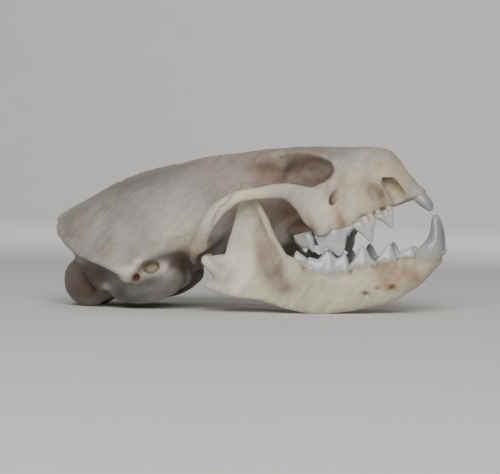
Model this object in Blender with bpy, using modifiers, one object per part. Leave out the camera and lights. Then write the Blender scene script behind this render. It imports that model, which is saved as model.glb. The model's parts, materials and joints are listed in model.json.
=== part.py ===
"""Mink skull with its lower jaw, life size, lying as it rests on a table.

The skull lies on the undersides of its two jaw halves and on its two occipital condyles.
+X is the snout's direction, +Y the animal's left and +Z up. The origin is on the floor,
under the middle of the skull. Shapes are worked out in millimetres and scaled to metres
at the end. Points are written as (ahead, out, up): ahead towards the snout, out from the
midline, up. The skull's points are measured from the jaw joint, with its palate level, and
the jaw's points are measured from the origin.
"""

from math import acos, atan2, copysign, cos, pi, radians, sin

import bmesh
import bpy
import numpy as np
from mathutils import Matrix, Vector

METRES_PER_MM = 0.001

# Pose of the skull on its jaw
JOINT_AHEAD = -5.8
JOINT_UP = 9.7
NOSE_UP = radians(17.0)

# Gaps between nodes and between the jaw halves
GAP = 0.3
SYMPHYSIS_GAP = 0.3

# Mesh fineness
RINGS = 26
SIDES = 28
VOXEL = 0.36
SMOOTHING_STEPS = 6
CRANIUM_TRIANGLES = 6800
BULLA_TRIANGLES = 420
JAW_TRIANGLES = 1500
TOOTH_SIDES = 7
TOOTH_RINGS = 6

# Lowest level kept when the underside is made flat
FLOOR_LEVEL = 0.0

# Stations of the midline forms: ahead, top, half width, height of the widest place,
# bottom, squareness above, squareness below
BRAINCASE = (
    (-26.2, 12.8, 2.6, 11.0, 9.4, 2.0, 2.0),
    (-25.3, 13.9, 6.2, 9.8, 6.2, 2.0, 2.0),
    (-23.7, 14.9, 9.8, 7.4, 1.2, 2.0, 2.1),
    (-21.0, 15.9, 12.2, 5.6, -2.0, 1.9, 2.3),
    (-17.0, 16.9, 13.6, 4.8, -2.4, 1.9, 2.5),
    (-12.0, 17.8, 14.2, 5.2, -2.0, 1.9, 2.6),
    (-8.0, 18.0, 14.1, 5.8, -1.7, 1.9, 2.6),
    (-4.0, 17.9, 13.2, 6.4, -1.4, 1.9, 2.5),
    (0.0, 17.6, 11.4, 7.0, -1.0, 1.9, 2.3),
    (4.0, 17.2, 9.0, 8.0, -0.5, 1.9, 2.1),
    (7.5, 16.8, 7.1, 9.2, 0.2, 2.0, 2.0),
    (11.0, 16.3, 6.0, 10.4, 1.2, 2.1, 2.0),
    (14.5, 15.5, 5.6, 10.6, 2.0, 2.2, 2.0),
)
FRONTAL = (
    (8.0, 16.6, 5.0, 14.2, 12.4, 2.2, 2.0),
    (11.0, 16.4, 6.0, 13.9, 11.4, 2.3, 2.0),
    (14.0, 15.9, 7.0, 13.8, 11.2, 2.4, 2.0),
    (17.0, 15.2, 7.8, 13.4, 10.8, 2.4, 2.0),
    (20.0, 14.6, 7.3, 12.9, 9.8, 2.4, 2.0),
    (23.0, 13.8, 7.2, 11.5, 8.0, 2.3, 2.0),
    (26.0, 12.9, 6.9, 9.2, 5.0, 2.1, 2.0),
    (29.0, 11.8, 5.2, 7.6, 4.0, 2.0, 2.0),
    (31.0, 9.6, 3.4, 6.4, 4.0, 2.0, 2.0),
)
ORBIT_WALL = (
    (6.0, 14.0, 5.6, 8.0, 0.6, 2.0, 2.0),
    (12.0, 14.0, 5.4, 8.6, 0.4, 2.0, 2.0),
    (17.0, 13.6, 5.0, 8.0, 0.2, 2.2, 2.2),
    (22.0, 12.6, 5.4, 6.0, 0.0, 2.4, 2.4),
    (27.0, 11.6, 6.2, 5.0, 0.0, 2.4, 2.4),
)
ROSTRUM = (
    (22.0, 12.4, 7.6, 7.6, 0.4, 2.1, 2.4),
    (24.5, 12.6, 8.3, 7.0, -0.4, 2.1, 2.4),
    (27.0, 12.5, 8.2, 5.8, -0.7, 2.1, 2.6),
    (29.0, 12.0, 7.8, 4.8, -0.6, 2.1, 2.8),
    (31.0, 11.5, 7.4, 4.0, -0.4, 2.1, 2.8),
    (33.5, 10.5, 7.1, 3.2, -0.3, 2.1, 2.8),
    (35.5, 9.4, 6.3, 3.0, -0.2, 2.1, 2.6),
    (36.8, 7.1, 5.3, 2.6, -0.1, 2.2, 2.4),
    (37.7, 4.3, 4.3, 2.0, 0.1, 2.2, 2.2),
    (38.7, 1.9, 3.3, 0.8, -0.1, 2.2, 2.2),
)
MAXILLA = (
    (14.4, 1.2, 7.2, 0.1, -1.0, 2.4, 3.0),
    (16.0, 1.8, 9.0, 0.2, -1.5, 2.4, 3.0),
    (19.0, 3.0, 10.5, 0.4, -2.0, 2.4, 3.4),
    (22.0, 4.2, 10.7, 0.6, -2.0, 2.4, 3.6),
    (25.0, 5.2, 9.8, 0.9, -1.6, 2.4, 3.6),
    (28.0, 6.0, 8.5, 1.1, -1.2, 2.4, 3.4),
    (31.0, 6.0, 7.4, 1.2, -0.6, 2.4, 3.2),
    (34.0, 5.0, 7.0, 1.3, -0.4, 2.4, 3.0),
    (36.4, 3.6, 5.6, 1.2, -0.2, 2.4, 2.6),
)
PALATINE = (
    (8.6, 1.6, 3.2, 0.0, -2.2, 2.4, 2.6),
    (11.5, 2.2, 3.7, 0.0, -2.3, 2.4, 2.8),
    (14.5, 2.4, 5.0, 0.0, -1.6, 2.4, 2.8),
    (18.0, 2.4, 6.2, 0.0, -1.0, 2.4, 2.8),
)
OCCIPUT = (
    (-25.2, 6.4, 3.6, 3.4, -0.8, 2.0, 2.0),
    (-24.2, 7.6, 6.6, 3.4, -1.8, 2.2, 2.3),
    (-22.2, 9.4, 9.6, 3.0, -2.5, 2.2, 2.5),
    (-19.0, 10.4, 11.4, 3.0, -2.6, 2.2, 2.6),
    (-14.0, 9.0, 10.6, 2.6, -2.0, 2.2, 2.6),
)
SPHENOID = (
    (-8.0, 2.0, 4.2, 0.0, -1.9, 2.2, 2.6),
    (-2.0, 2.0, 4.0, 0.2, -1.4, 2.2, 2.6),
    (4.0, 3.0, 3.6, 1.2, -0.2, 2.2, 2.4),
    (10.0, 4.0, 3.6, 2.0, 0.4, 2.2, 2.4),
)

# Ridges and bars: ahead, out, up, half size along the rim's direction, half thickness
SAGITTAL_CREST = (
    (-26.4, 0.0, 12.9, 1.8, 0.75),
    (-25.0, 0.0, 13.9, 1.7, 0.60),
    (-20.0, 0.0, 15.1, 1.6, 0.45),
    (-14.0, 0.0, 16.5, 1.6, 0.40),
    (-8.0, 0.0, 17.1, 1.4, 0.40),
    (-3.0, 0.0, 17.2, 1.1, 0.45),
)
NUCHAL_CREST = (
    (-13.8, 15.7, 0.1, 1.3, 0.85),
    (-16.0, 15.9, 1.5, 1.6, 0.80),
    (-18.4, 15.4, 3.6, 1.9, 0.70),
    (-21.2, 14.0, 5.5, 2.1, 0.70),
    (-24.3, 10.8, 8.3, 2.3, 0.75),
    (-26.5, 6.1, 11.1, 2.4, 0.85),
    (-27.2, 2.6, 12.5, 2.4, 0.95),
    (-27.1, 0.0, 13.0, 2.3, 1.00),
)
ARCH = (
    (22.6, 11.0, 2.6, 4.4, 1.35),
    (21.2, 11.9, 3.0, 4.1, 1.15),
    (19.3, 13.3, 5.1, 2.5, 0.95),
    (17.0, 14.8, 7.1, 1.65, 0.80),
    (14.4, 16.0, 7.8, 1.30, 0.78),
    (11.6, 17.0, 8.2, 1.12, 0.78),
    (9.0, 17.8, 8.5, 1.15, 0.78),
    (6.3, 18.3, 7.8, 1.32, 0.80),
    (4.2, 18.4, 6.7, 1.40, 0.82),
    (2.4, 18.2, 5.2, 1.40, 0.90),
    (1.0, 17.4, 3.7, 1.35, 1.10),
    (-0.8, 15.6, 2.75, 1.30, 1.50),
    (-2.8, 12.8, 2.7, 1.40, 2.00),
    (-4.4, 10.6, 2.9, 1.60, 2.50),
)
CHEEK = (
    (29.0, 5.4, 4.0, 3.0, 1.2),
    (26.8, 7.4, 3.4, 4.0, 1.3),
    (24.8, 8.9, 2.8, 4.5, 1.35),
    (23.0, 10.2, 2.6, 4.5, 1.3),
    (21.4, 11.4, 2.9, 4.0, 1.2),
)
ARCH_ROOT = (
    (19.9, 13.0, 5.0, 0.9, 0.9),
    (20.2, 12.5, 2.6, 1.3, 1.0),
    (20.6, 11.7, -0.1, 1.5, 1.0),
    (20.8, 11.0, -1.9, 1.2, 0.9),
)
GLENOID = (
    (-0.6, 7.6, 3.3, 1.90, 4.2),
    (-0.5, 10.4, 2.7, 1.50, 3.6),
    (-0.5, 13.0, 2.45, 1.35, 2.6),
    (-0.3, 15.6, 2.25, 1.35, 2.0),
    (0.1, 17.4, 2.15, 1.35, 1.4),
)
POSTGLENOID = (
    (-2.5, 9.6, 0.9, 1.8, 0.70),
    (-2.4, 12.0, 0.9, 1.8, 0.75),
    (-2.2, 14.2, 0.9, 1.6, 0.80),
    (-1.75, 15.8, 1.3, 1.4, 0.85),
    (-0.9, 16.9, 2.1, 1.2, 1.00),
)
EAR_SHELF = (
    (-1.2, 15.4, 3.5, 1.1, 1.1),
    (-5.0, 13.9, 3.4, 1.2, 0.9),
    (-8.6, 13.9, 3.3, 1.1, 0.9),
    (-11.4, 14.3, 2.6, 1.0, 0.9),
    (-13.4, 14.8, 1.4, 0.9, 0.9),
)
TEMPORAL_LINE = (
    (-3.0, 0.2, 17.5, 0.55, 0.5),
    (3.0, 1.3, 17.3, 0.45, 0.5),
    (8.0, 3.2, 16.4, 0.45, 0.5),
    (13.0, 5.6, 15.0, 0.50, 0.6),
    (16.6, 7.6, 13.9, 0.55, 0.8),
)
POSTORBITAL_RIDGE = (
    (17.3, 7.1, 13.5, 1.0, 0.90),
    (16.7, 6.2, 12.5, 1.1, 0.75),
    (15.9, 5.5, 11.3, 1.0, 0.55),
    (15.1, 5.3, 10.1, 0.9, 0.40),
    (14.3, 5.1, 8.9, 0.8, 0.30),
)
ORBIT_FRONT_RIM = (
    (26.0, 6.6, 10.0, 0.6, 0.6),
    (26.4, 7.3, 8.8, 0.8, 0.8),
    (25.7, 8.4, 7.4, 1.1, 1.0),
    (24.2, 9.7, 6.0, 1.3, 1.1),
    (22.4, 11.0, 5.5, 1.35, 1.0),
    (20.8, 12.1, 5.3, 1.5, 0.9),
)
ORBIT_SPINE = (
    (26.9, 6.2, 9.8, 0.7, 0.8),
    (25.5, 7.0, 10.2, 0.5, 0.6),
    (24.5, 7.4, 10.6, 0.25, 0.3),
)
PTERYGOID = (
    (12.0, 3.1, -0.6, 1.7, 0.55),
    (8.0, 2.9, -0.6, 1.9, 0.42),
    (4.5, 2.9, -0.9, 1.7, 0.40),
    (2.2, 3.1, -2.0, 0.6, 0.36),
    (0.8, 3.3, -2.5, 0.35, 0.32),
)
PAROCCIPITAL = (
    (-20.8, 10.8, 3.8, 1.8, 1.5),
    (-20.4, 10.8, 1.4, 1.5, 1.2),
    (-19.7, 10.7, 0.2, 1.1, 0.9),
    (-19.2, 10.6, -0.6, 0.6, 0.5),
)

# Rounded forms: ahead, out, up, half length, half width, half height, tilt in degrees
CONDYLE = (-23.7, 4.8, 1.7, 4.2, 3.0, 4.7, 12.0)
MASTOID = (-14.2, 14.1, 1.0, 1.9, 1.5, 1.9, 0.0)
POSTORBITAL = (17.2, 7.3, 13.9, 1.1, 1.6, 0.8, 0.0)
CANINE_BULGE = (33.2, 5.6, 2.7, 2.7, 2.1, 3.4, -35.0)
PREMAXILLA = (37.6, 2.2, 0.7, 1.9, 2.3, 1.1, 0.0)
BULLA = (-12.4, 8.9, -1.2, 7.2, 4.8, 3.9, -6.0)
BULLA_BEAK = (-7.6, 6.5, -1.6, 3.3, 2.9, 2.6, -6.0)
EAR_TUBE = (
    (-10.2, 8.0, -0.4, 2.6, 2.6),
    (-9.9, 11.0, 0.5, 2.2, 2.9),
    (-9.7, 12.9, 0.9, 2.0, 2.8),
)

# Openings, each a form that is cut out
FORAMEN_MAGNUM = (-26.0, 0.0, 2.9, 6.2, 3.4, 2.9, 0.0)
CONDYLE_DIMPLE = (-23.0, 9.2, 1.4, 1.3, 1.8, 3.0, 15.0)
PALATE_HOLLOW = (26.0, 0.0, -2.6, 12.5, 4.9, 2.3, 0.0)
CHOANA = (5.4, 0.0, -1.2, 5.6, 2.3, 2.5, 0.0)
NASAL_OPENING = (
    (40.5, 0.0, 6.6, 3.2, 3.0),
    (37.6, 0.0, 5.6, 3.0, 2.9),
    (35.0, 0.0, 5.4, 2.6, 2.6),
    (31.0, 0.0, 5.0, 1.8, 2.0),
)
ORBIT = (19.9, 10.8, 9.6, 6.4, 5.8, 5.4, -14.0)
ORBIT_FRONT = (22.3, 9.2, 8.8, 3.3, 4.2, 2.6, -14.0)
CANINE_SOCKET = (
    (35.6, 7.0, -2.4, 1.6, 1.5),
    (35.1, 6.9, 0.8, 1.55, 1.6),
    (34.55, 7.1, 2.7, 1.5, 1.5),
    (34.05, 7.0, 3.9, 1.4, 1.3),
    (34.25, 6.9, 4.8, 1.3, 1.2),
)
INFRAORBITAL = (
    (26.4, 9.8, 4.8, 0.6, 0.40),
    (25.0, 10.2, 4.2, 0.8, 0.60),
    (23.6, 10.5, 3.5, 1.05, 0.95),
    (22.6, 10.5, 3.0, 1.15, 1.50),
    (21.8, 10.0, 2.8, 1.15, 1.75),
    (21.0, 9.3, 2.8, 1.15, 1.55),
    (20.0, 8.6, 3.3, 1.10, 1.20),
    (18.6, 7.6, 4.8, 1.10, 0.90),
)
EAR_OPENING = (
    (-10.1, 17.0, 1.15, 1.15, 1.70),
    (-10.1, 13.6, 1.05, 1.10, 1.60),
    (-10.2, 11.8, 0.75, 0.90, 1.30),
)
STYLOMASTOID = (-13.0, 14.6, -0.15, 0.62, 2.2, 0.85, -35.0)

# Where the cranium is parted: ahead, out, up, the direction across the cut, half width, half height
SNOUT_CUT = (13.6, 0.0, 8.0, 1.0, 0.0, 12.0, 14.0)
ARCH_FRONT_CUT = (20.1, 12.05, 3.2, 0.82, -0.57, 3.5, 8.6)
ARCH_REAR_CUT = (3.3, 18.4, 5.7, 0.76, 0.64, 2.4, 3.2)

# Upper teeth along the row: gum level, root end, out at the rear, out at the front,
# half width, then the biting edge's level at stations ahead
UPPER_BLADES = {
    "second_premolar": (
        -0.6, 1.8, 7.0, 6.8, 0.85,
        ((30.0, -1.0), (30.5, -1.9), (31.2, -2.6), (31.9, -3.9), (32.3, -4.1), (32.8, -3.1),
         (33.3, -1.7), (33.5, -0.9)),
    ),
    "third_premolar": (
        -0.9, 1.8, 8.2, 7.4, 1.00,
        ((25.7, -1.2), (26.4, -2.6), (27.2, -4.1), (28.0, -5.4), (28.4, -5.6), (28.9, -4.3),
         (29.5, -2.5), (30.1, -1.2)),
    ),
    "carnassial": (
        -1.9, 1.2, 10.3, 8.6, 1.15,
        ((18.8, -2.3), (19.0, -3.6), (19.4, -4.8), (20.3, -4.2), (21.0, -4.8), (22.1, -6.2),
         (22.9, -5.9), (23.7, -4.9), (24.4, -3.3), (25.2, -2.8), (26.0, -2.0)),
    ),
    "molar": (
        -1.2, 1.2, 9.4, 9.7, 1.25,
        ((15.3, -1.3), (15.8, -2.5), (16.8, -3.4), (17.7, -4.0), (18.3, -4.4), (18.7, -2.6)),
    ),
}
UPPER_INNER_CUSPS = (
    ((24.5, 7.5, -2.8), (24.3, 7.8, -1.2), 1.00, 0.95, 1.4),
    ((16.8, 5.9, -2.6), (16.8, 6.3, -1.0), 1.30, 1.45, 1.2),
    ((16.9, 7.9, -2.4), (16.9, 7.9, -1.0), 0.95, 1.60, 1.2),
)
UPPER_INCISORS = (
    ((39.6, 3.2, -2.9), (38.3, 2.9, -0.4), 1.05, 0.90, 2.2),
    ((39.5, 1.9, -2.2), (38.8, 1.8, -0.2), 0.60, 0.50, 1.4),
    ((39.6, 0.75, -2.1), (39.0, 0.7, -0.2), 0.55, 0.42, 1.4),
)
# The left side of this skull has lost its second and third upper premolars
LOST_LEFT = ("second_premolar", "third_premolar")

# Jaw half: ahead, top, out to its middle, half thickness, bottom, squareness
JAW_BODY = (
    (-4.2, 9.4, 15.2, 0.75, 4.0, 2.6),
    (-2.0, 10.2, 14.7, 0.75, 3.0, 2.8),
    (1.0, 11.0, 14.0, 0.80, 2.5, 2.8),
    (4.0, 11.6, 13.3, 0.95, 2.1, 2.8),
    (7.0, 10.9, 12.5, 1.30, 1.2, 2.7),
    (9.5, 9.8, 11.7, 1.65, 0.45, 2.5),
    (12.0, 7.9, 10.8, 1.90, 0.0, 2.4),
    (15.0, 7.1, 9.6, 2.00, -0.15, 2.4),
    (18.0, 7.2, 8.6, 2.00, 0.25, 2.4),
    (21.0, 8.1, 7.7, 2.00, 0.75, 2.4),
    (24.0, 8.8, 6.7, 2.10, 1.4, 2.4),
    (27.0, 9.5, 5.6, 2.35, 2.4, 2.3),
    (29.5, 9.9, 4.5, 2.55, 3.9, 2.3),
    (31.8, 9.6, 3.5, 2.70, 5.7, 2.2),
    (33.4, 9.8, 2.9, 2.35, 7.6, 2.1),
    (34.9, 10.2, 1.8, 1.25, 9.1, 2.0),
)
CORONOID = (
    (2.6, 13.6, 8.0, 5.4, 0.75),
    (2.0, 13.7, 11.0, 4.5, 0.70),
    (1.9, 13.7, 14.0, 3.6, 0.62),
    (1.65, 13.6, 17.0, 2.6, 0.58),
    (1.35, 13.5, 20.0, 1.7, 0.55),
    (0.95, 13.4, 22.2, 1.1, 0.50),
    (0.85, 13.3, 22.9, 0.6, 0.42),
)
CORONOID_EDGE = (
    (2.2, 13.5, 21.3, 0.45, 0.60),
    (3.2, 13.6, 19.0, 0.60, 0.95),
    (4.5, 13.5, 16.4, 0.65, 1.15),
    (5.8, 13.3, 13.3, 0.70, 1.25),
    (7.2, 13.0, 10.7, 0.80, 1.35),
    (8.8, 12.4, 8.2, 0.90, 1.35),
    (10.3, 11.9, 5.4, 0.90, 1.10),
)
JAW_CONDYLE = (
    (-5.3, 11.2, 9.3, 0.55, 0.60),
    (-5.5, 13.0, 9.3, 1.00, 0.95),
    (-5.6, 15.2, 9.3, 1.00, 0.85),
    (-5.45, 16.6, 9.15, 1.00, 0.78),
    (-5.3, 17.1, 9.1, 0.70, 0.55),
)
JAW_NECK = (
    (-5.2, 16.2, 8.8, 0.85, 0.9),
    (-4.35, 16.0, 8.0, 0.95, 0.9),
    (-3.4, 15.6, 7.2, 1.3, 0.9),
    (-2.1, 15.0, 6.2, 2.4, 0.9),
)
JAW_NOTCH_RIM = (
    (-5.0, 14.8, 9.2, 0.70, 0.60),
    (-3.8, 14.4, 9.3, 0.85, 0.60),
    (-2.2, 14.1, 9.3, 1.10, 0.60),
)
JAW_ANGLE = (
    (-5.65, 15.7, 5.0, 0.50, 0.45),
    (-4.9, 15.5, 4.75, 0.75, 0.62),
    (-3.0, 15.0, 4.2, 1.10, 0.82),
    (0.5, 14.2, 3.6, 1.10, 0.80),
)
SYMPHYSIS = (
    (23.4, 4.4, 3.6, 0.7, 0.8),
    (25.6, 3.0, 4.4, 1.1, 1.4),
    (28.2, 2.2, 5.7, 1.5, 1.9),
    (30.8, 1.6, 7.2, 1.6, 1.7),
    (32.8, 1.1, 8.8, 1.2, 1.25),
    (34.0, 0.9, 9.7, 0.7, 0.9),
)
MASSETER_HOLLOW = (6.0, 16.6, 8.8, 8.0, 3.4, 3.1, -64.0)
# How far the upright part of the jaw leans in for each step ahead
RAMUS_SLANT = -0.24
MENTAL_HOLES = (
    (22.0, 9.9, 3.7, 0.45, 0.8, 0.35, 0.0),
    (24.2, 9.1, 4.6, 0.50, 0.9, 0.40, 20.0),
    (26.6, 8.2, 4.8, 0.60, 1.0, 0.50, 20.0),
)

LOWER_CANINE = ((33.6, 4.4, 17.7), (32.7, 4.0, 10.6), 2.35, 1.70, 5.0)
LOWER_BLADES = {
    "second_premolar": (
        10.0, 7.6, 5.5, 4.6, 0.85,
        ((27.1, 10.3), (28.0, 11.1), (29.0, 11.7), (29.7, 11.9), (30.2, 11.3), (30.4, 10.3)),
    ),
    "third_premolar": (
        9.2, 6.8, 6.7, 5.8, 0.95,
        ((23.6, 9.4), (24.2, 10.5), (25.0, 11.7), (25.7, 12.5), (26.2, 12.1), (26.7, 10.9),
         (27.1, 9.6)),
    ),
    "fourth_premolar": (
        8.4, 5.8, 8.1, 6.9, 1.05,
        ((19.0, 8.5), (19.6, 9.4), (20.3, 10.9), (21.1, 12.0), (21.7, 11.7), (22.4, 10.5),
         (23.0, 9.6), (23.5, 9.1), (23.7, 8.6)),
    ),
    "carnassial": (
        7.9, 4.8, 9.6, 8.0, 1.20,
        ((11.3, 8.4), (11.7, 9.6), (12.8, 9.75), (13.7, 9.7), (14.4, 10.7), (15.1, 11.3),
         (15.8, 11.0), (16.8, 10.0), (17.4, 10.4), (18.0, 10.8), (18.6, 9.9), (19.0, 8.2)),
    ),
    "second_molar": (
        9.3, 6.8, 9.9, 9.6, 0.90,
        ((9.2, 9.7), (9.6, 10.9), (10.2, 10.7), (11.0, 10.2), (11.7, 9.6)),
    ),
}
LOWER_INCISORS = (
    ((35.6, 1.9, 11.4), (34.5, 1.8, 9.9), 0.62, 0.55, 1.6),
    ((35.6, 0.75, 11.1), (34.6, 0.75, 9.8), 0.52, 0.40, 1.6),
)

# Colours: base colour, roughness
BRAINCASE_BONE = ((0.72, 0.62, 0.52), 0.55)
SNOUT_BONE = ((0.78, 0.69, 0.54), 0.50)
ARCH_BONE = ((0.76, 0.67, 0.52), 0.50)
BULLA_BONE = ((0.74, 0.66, 0.52), 0.45)
JAW_BONE = ((0.80, 0.71, 0.55), 0.48)


def spline(rows):
    """Return a function that gives a table's columns at any value of its first column."""
    table = np.array(rows, dtype=float)
    stations = table[:, 0]
    columns = table[:, 1:]
    slopes = np.gradient(columns, stations, axis=0)

    def at(value):
        value = min(max(value, stations[0]), stations[-1])
        start = int(np.searchsorted(stations, value, side="right")) - 1
        start = min(max(start, 0), len(stations) - 2)
        step = stations[start + 1] - stations[start]
        t = (value - stations[start]) / step
        rise = columns[start + 1] - columns[start]
        bend_in = slopes[start] * step - rise
        bend_out = rise - slopes[start + 1] * step
        return columns[start] + t * rise + t * (1 - t) * ((1 - t) * bend_in + t * bend_out)

    return at


def skull_place(ahead, out, up):
    """Turn a point of the skull into one of the world, in millimetres."""
    world_ahead = JOINT_AHEAD + ahead * cos(NOSE_UP) - up * sin(NOSE_UP)
    world_up = JOINT_UP + ahead * sin(NOSE_UP) + up * cos(NOSE_UP)
    return Vector((world_ahead, out, world_up))


def jaw_place_on(side):
    """Return the jaw's own place function, which stops at the flat face of the symphysis."""
    inner = SYMPHYSIS_GAP / 2.0

    def place(ahead, out, up):
        return Vector((ahead, side * max(side * out, inner), up))

    return place


def signed_power(value, power):
    return copysign(abs(value) ** power, value)


def add_object(name, mesh, collection):
    data = bpy.data.meshes.new(name)
    mesh.to_mesh(data)
    mesh.free()
    item = bpy.data.objects.new(name, data)
    collection.objects.link(item)
    return item


def face_outwards(mesh):
    bmesh.ops.recalc_face_normals(mesh, faces=mesh.faces)
    if mesh.calc_volume(signed=True) < 0.0:
        bmesh.ops.reverse_faces(mesh, faces=mesh.faces)


def closed_body(name, surface, place, collection, rings=RINGS, sides=SIDES):
    """Make a closed body: the rings of a sphere are moved to surface(t, angle)."""
    mesh = bmesh.new()
    bmesh.ops.create_uvsphere(mesh, u_segments=sides, v_segments=rings + 1, radius=1.0)
    for vert in mesh.verts:
        polar = acos(min(max(vert.co.z, -1.0), 1.0))
        ring = round(polar / pi * (rings + 1))
        angle = atan2(vert.co.y, vert.co.x)
        t = (min(max(ring, 1), rings) - 1) / (rings - 1)
        at_pole = ring in (0, rings + 1)
        vert.co = place(*surface(t, None if at_pole else angle))
    face_outwards(mesh)
    return add_object(name, mesh, collection)


def hull(name, rows, collection):
    """A form across the midline, from its stations along the skull."""
    at = spline(rows)
    first = rows[0][0]
    last = rows[-1][0]

    def surface(t, angle):
        ahead = first + (last - first) * t
        top, half_width, widest_at, bottom, above, below = at(ahead)
        if angle is None:
            return ahead, 0.0, widest_at
        across = cos(angle)
        rise = sin(angle)
        power = 2.0 / (above if rise > 0 else below)
        height = top - widest_at if rise > 0 else widest_at - bottom
        return (
            ahead,
            half_width * signed_power(across, power),
            widest_at + height * signed_power(rise, power),
        )

    return closed_body(name, surface, skull_place, collection)


def sweep(
    name, rows, place, side, collection, rims=None, rings=RINGS, sides=SIDES, by_edge=False
):
    """A bar or ridge along a path, with an oval section that keeps its rim's direction.

    With by_edge the path is the rim's outer edge and not the middle.
    """
    numbered = [(index, *row) for index, row in enumerate(rows)]
    at = spline(numbered)
    last = len(rows) - 1

    def surface(t, angle):
        value = t * last
        ahead, out, up, half_rim, half_thick = at(value)
        middle = Vector((ahead, out, up))
        before = Vector(at(value - 0.05)[:3])
        after = Vector(at(value + 0.05)[:3])
        along = (after - before).normalized()
        if rims is None:
            thin = Vector((0.0, 1.0, 0.0))
            thin = (thin - along * thin.dot(along)).normalized()
            rim = thin.cross(along).normalized()
        else:
            rim = Vector(rims(value / last))
            rim = (rim - along * rim.dot(along)).normalized()
            thin = along.cross(rim).normalized()
        if by_edge:
            middle -= rim * half_rim
        point = middle
        if angle is not None:
            point = point + rim * (half_rim * cos(angle)) + thin * (half_thick * sin(angle))
        return point.x, side * point.y, point.z

    return closed_body(name, surface, place, collection, rings, sides)


def rounded(name, form, place, side, collection, rings=RINGS, sides=SIDES):
    """An oval form, tilted nose up by its last value."""
    ahead, out, up, half_length, half_width, half_height, tilt = form
    turn = radians(tilt)

    def surface(t, angle):
        polar = pi * (t * (rings - 1) + 1) / (rings + 1)
        if angle is None:
            polar = 0.0 if t < 0.5 else pi
            angle = 0.0
        length = half_length * cos(polar)
        height = half_height * sin(polar) * sin(angle)
        width = half_width * sin(polar) * cos(angle)
        return (
            ahead + length * cos(turn) - height * sin(turn),
            side * out + width,
            up + length * sin(turn) + height * cos(turn),
        )

    return closed_body(name, surface, place, collection, rings, sides)


def block(name, centre, along, half_sizes, collection):
    """A box with its first side along the given direction of the skull."""
    mesh = bmesh.new()
    bmesh.ops.create_cube(mesh, size=2.0)
    first = (skull_place(*along) - skull_place(0.0, 0.0, 0.0)).normalized()
    third = (skull_place(0.0, 0.0, 1.0) - skull_place(0.0, 0.0, 0.0)).normalized()
    third = (third - first * third.dot(first)).normalized()
    second = third.cross(first)
    for vert in mesh.verts:
        corner = vert.co.copy()
        vert.co = (
            skull_place(*centre)
            + first * (corner.x * half_sizes[0])
            + second * (corner.y * half_sizes[1])
            + third * (corner.z * half_sizes[2])
        )
    face_outwards(mesh)
    return add_object(name, mesh, collection)


def apply_modifiers(item):
    """Replace an object's mesh by what its modifiers make of it."""
    bpy.context.view_layer.update()
    evaluated = item.evaluated_get(bpy.context.evaluated_depsgraph_get())
    mesh = bpy.data.meshes.new_from_object(evaluated)
    item.modifiers.clear()
    item.data = mesh


def drop_collection(collection):
    for item in list(collection.objects):
        bpy.data.objects.remove(item, do_unlink=True)
    bpy.data.collections.remove(collection)


def combine(item, collection, operation, solver):
    """Join a collection's closed objects to an object, or cut them out of it."""
    modifier = item.modifiers.new(operation.lower(), "BOOLEAN")
    modifier.operation = operation
    modifier.operand_type = "COLLECTION"
    modifier.collection = collection
    modifier.solver = solver
    apply_modifiers(item)
    drop_collection(collection)


def smooth_fine(item, voxel, steps, triangles):
    """Even out the joined forms, then keep about as many triangles as asked."""
    remesh = item.modifiers.new("remesh", "REMESH")
    remesh.mode = "VOXEL"
    remesh.voxel_size = voxel
    smooth = item.modifiers.new("smooth", "SMOOTH")
    smooth.factor = 0.5
    smooth.iterations = steps
    apply_modifiers(item)
    keep_largest(item)
    faces = sum(len(polygon.vertices) - 2 for polygon in item.data.polygons)
    decimate = item.modifiers.new("decimate", "DECIMATE")
    decimate.ratio = triangles / faces
    decimate.use_collapse_triangulate = True
    apply_modifiers(item)


def shells(mesh):
    """Return the closed surfaces of a bmesh, each as a list of faces."""
    mesh.faces.ensure_lookup_table()
    unseen = set(mesh.faces)
    found = []
    while unseen:
        stack = [unseen.pop()]
        shell = []
        while stack:
            face = stack.pop()
            shell.append(face)
            for edge in face.edges:
                for other in edge.link_faces:
                    if other in unseen:
                        unseen.remove(other)
                        stack.append(other)
        found.append(shell)
    return found


def shell_volume(shell):
    total = 0.0
    for face in shell:
        origin = face.verts[0].co
        for first, second in zip(face.verts[1:], face.verts[2:]):
            total += origin.dot(first.co.cross(second.co)) / 6.0
    return total


def keep_largest(item):
    """Keep only the closed surface that holds the most."""
    mesh = bmesh.new()
    mesh.from_mesh(item.data)
    found = sorted(shells(mesh), key=shell_volume)
    extra = [face for shell in found[:-1] for face in shell]
    if extra:
        bmesh.ops.delete(mesh, geom=extra, context="FACES")
        loose = [vert for vert in mesh.verts if not vert.link_faces]
        bmesh.ops.delete(mesh, geom=loose, context="VERTS")
    mesh.to_mesh(item.data)
    mesh.free()


def new_group(name):
    group = bpy.data.collections.new(name)
    bpy.context.scene.collection.children.link(group)
    return group


def tooth_cusp(name, cusp, place, side, collection):
    """One point of a tooth, from inside the bone to its tip."""
    tip, base, half_length, half_width, depth = cusp
    tip = Vector(tip)
    base = Vector(base)
    axis = tip - base
    inward = -axis.normalized() * depth
    shape = (
        (base + inward, 0.45),
        (base + inward * 0.3, 0.86),
        (base + axis * 0.18, 1.0),
        (base + axis * 0.5, 0.66),
        (base + axis * 0.82, 0.32),
        (tip, 0.09),
    )
    rows = [(*middle, half_length * size, half_width * size) for middle, size in shape]
    sweep(name, rows, place, side, collection, None, TOOTH_RINGS, TOOTH_SIDES)


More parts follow.
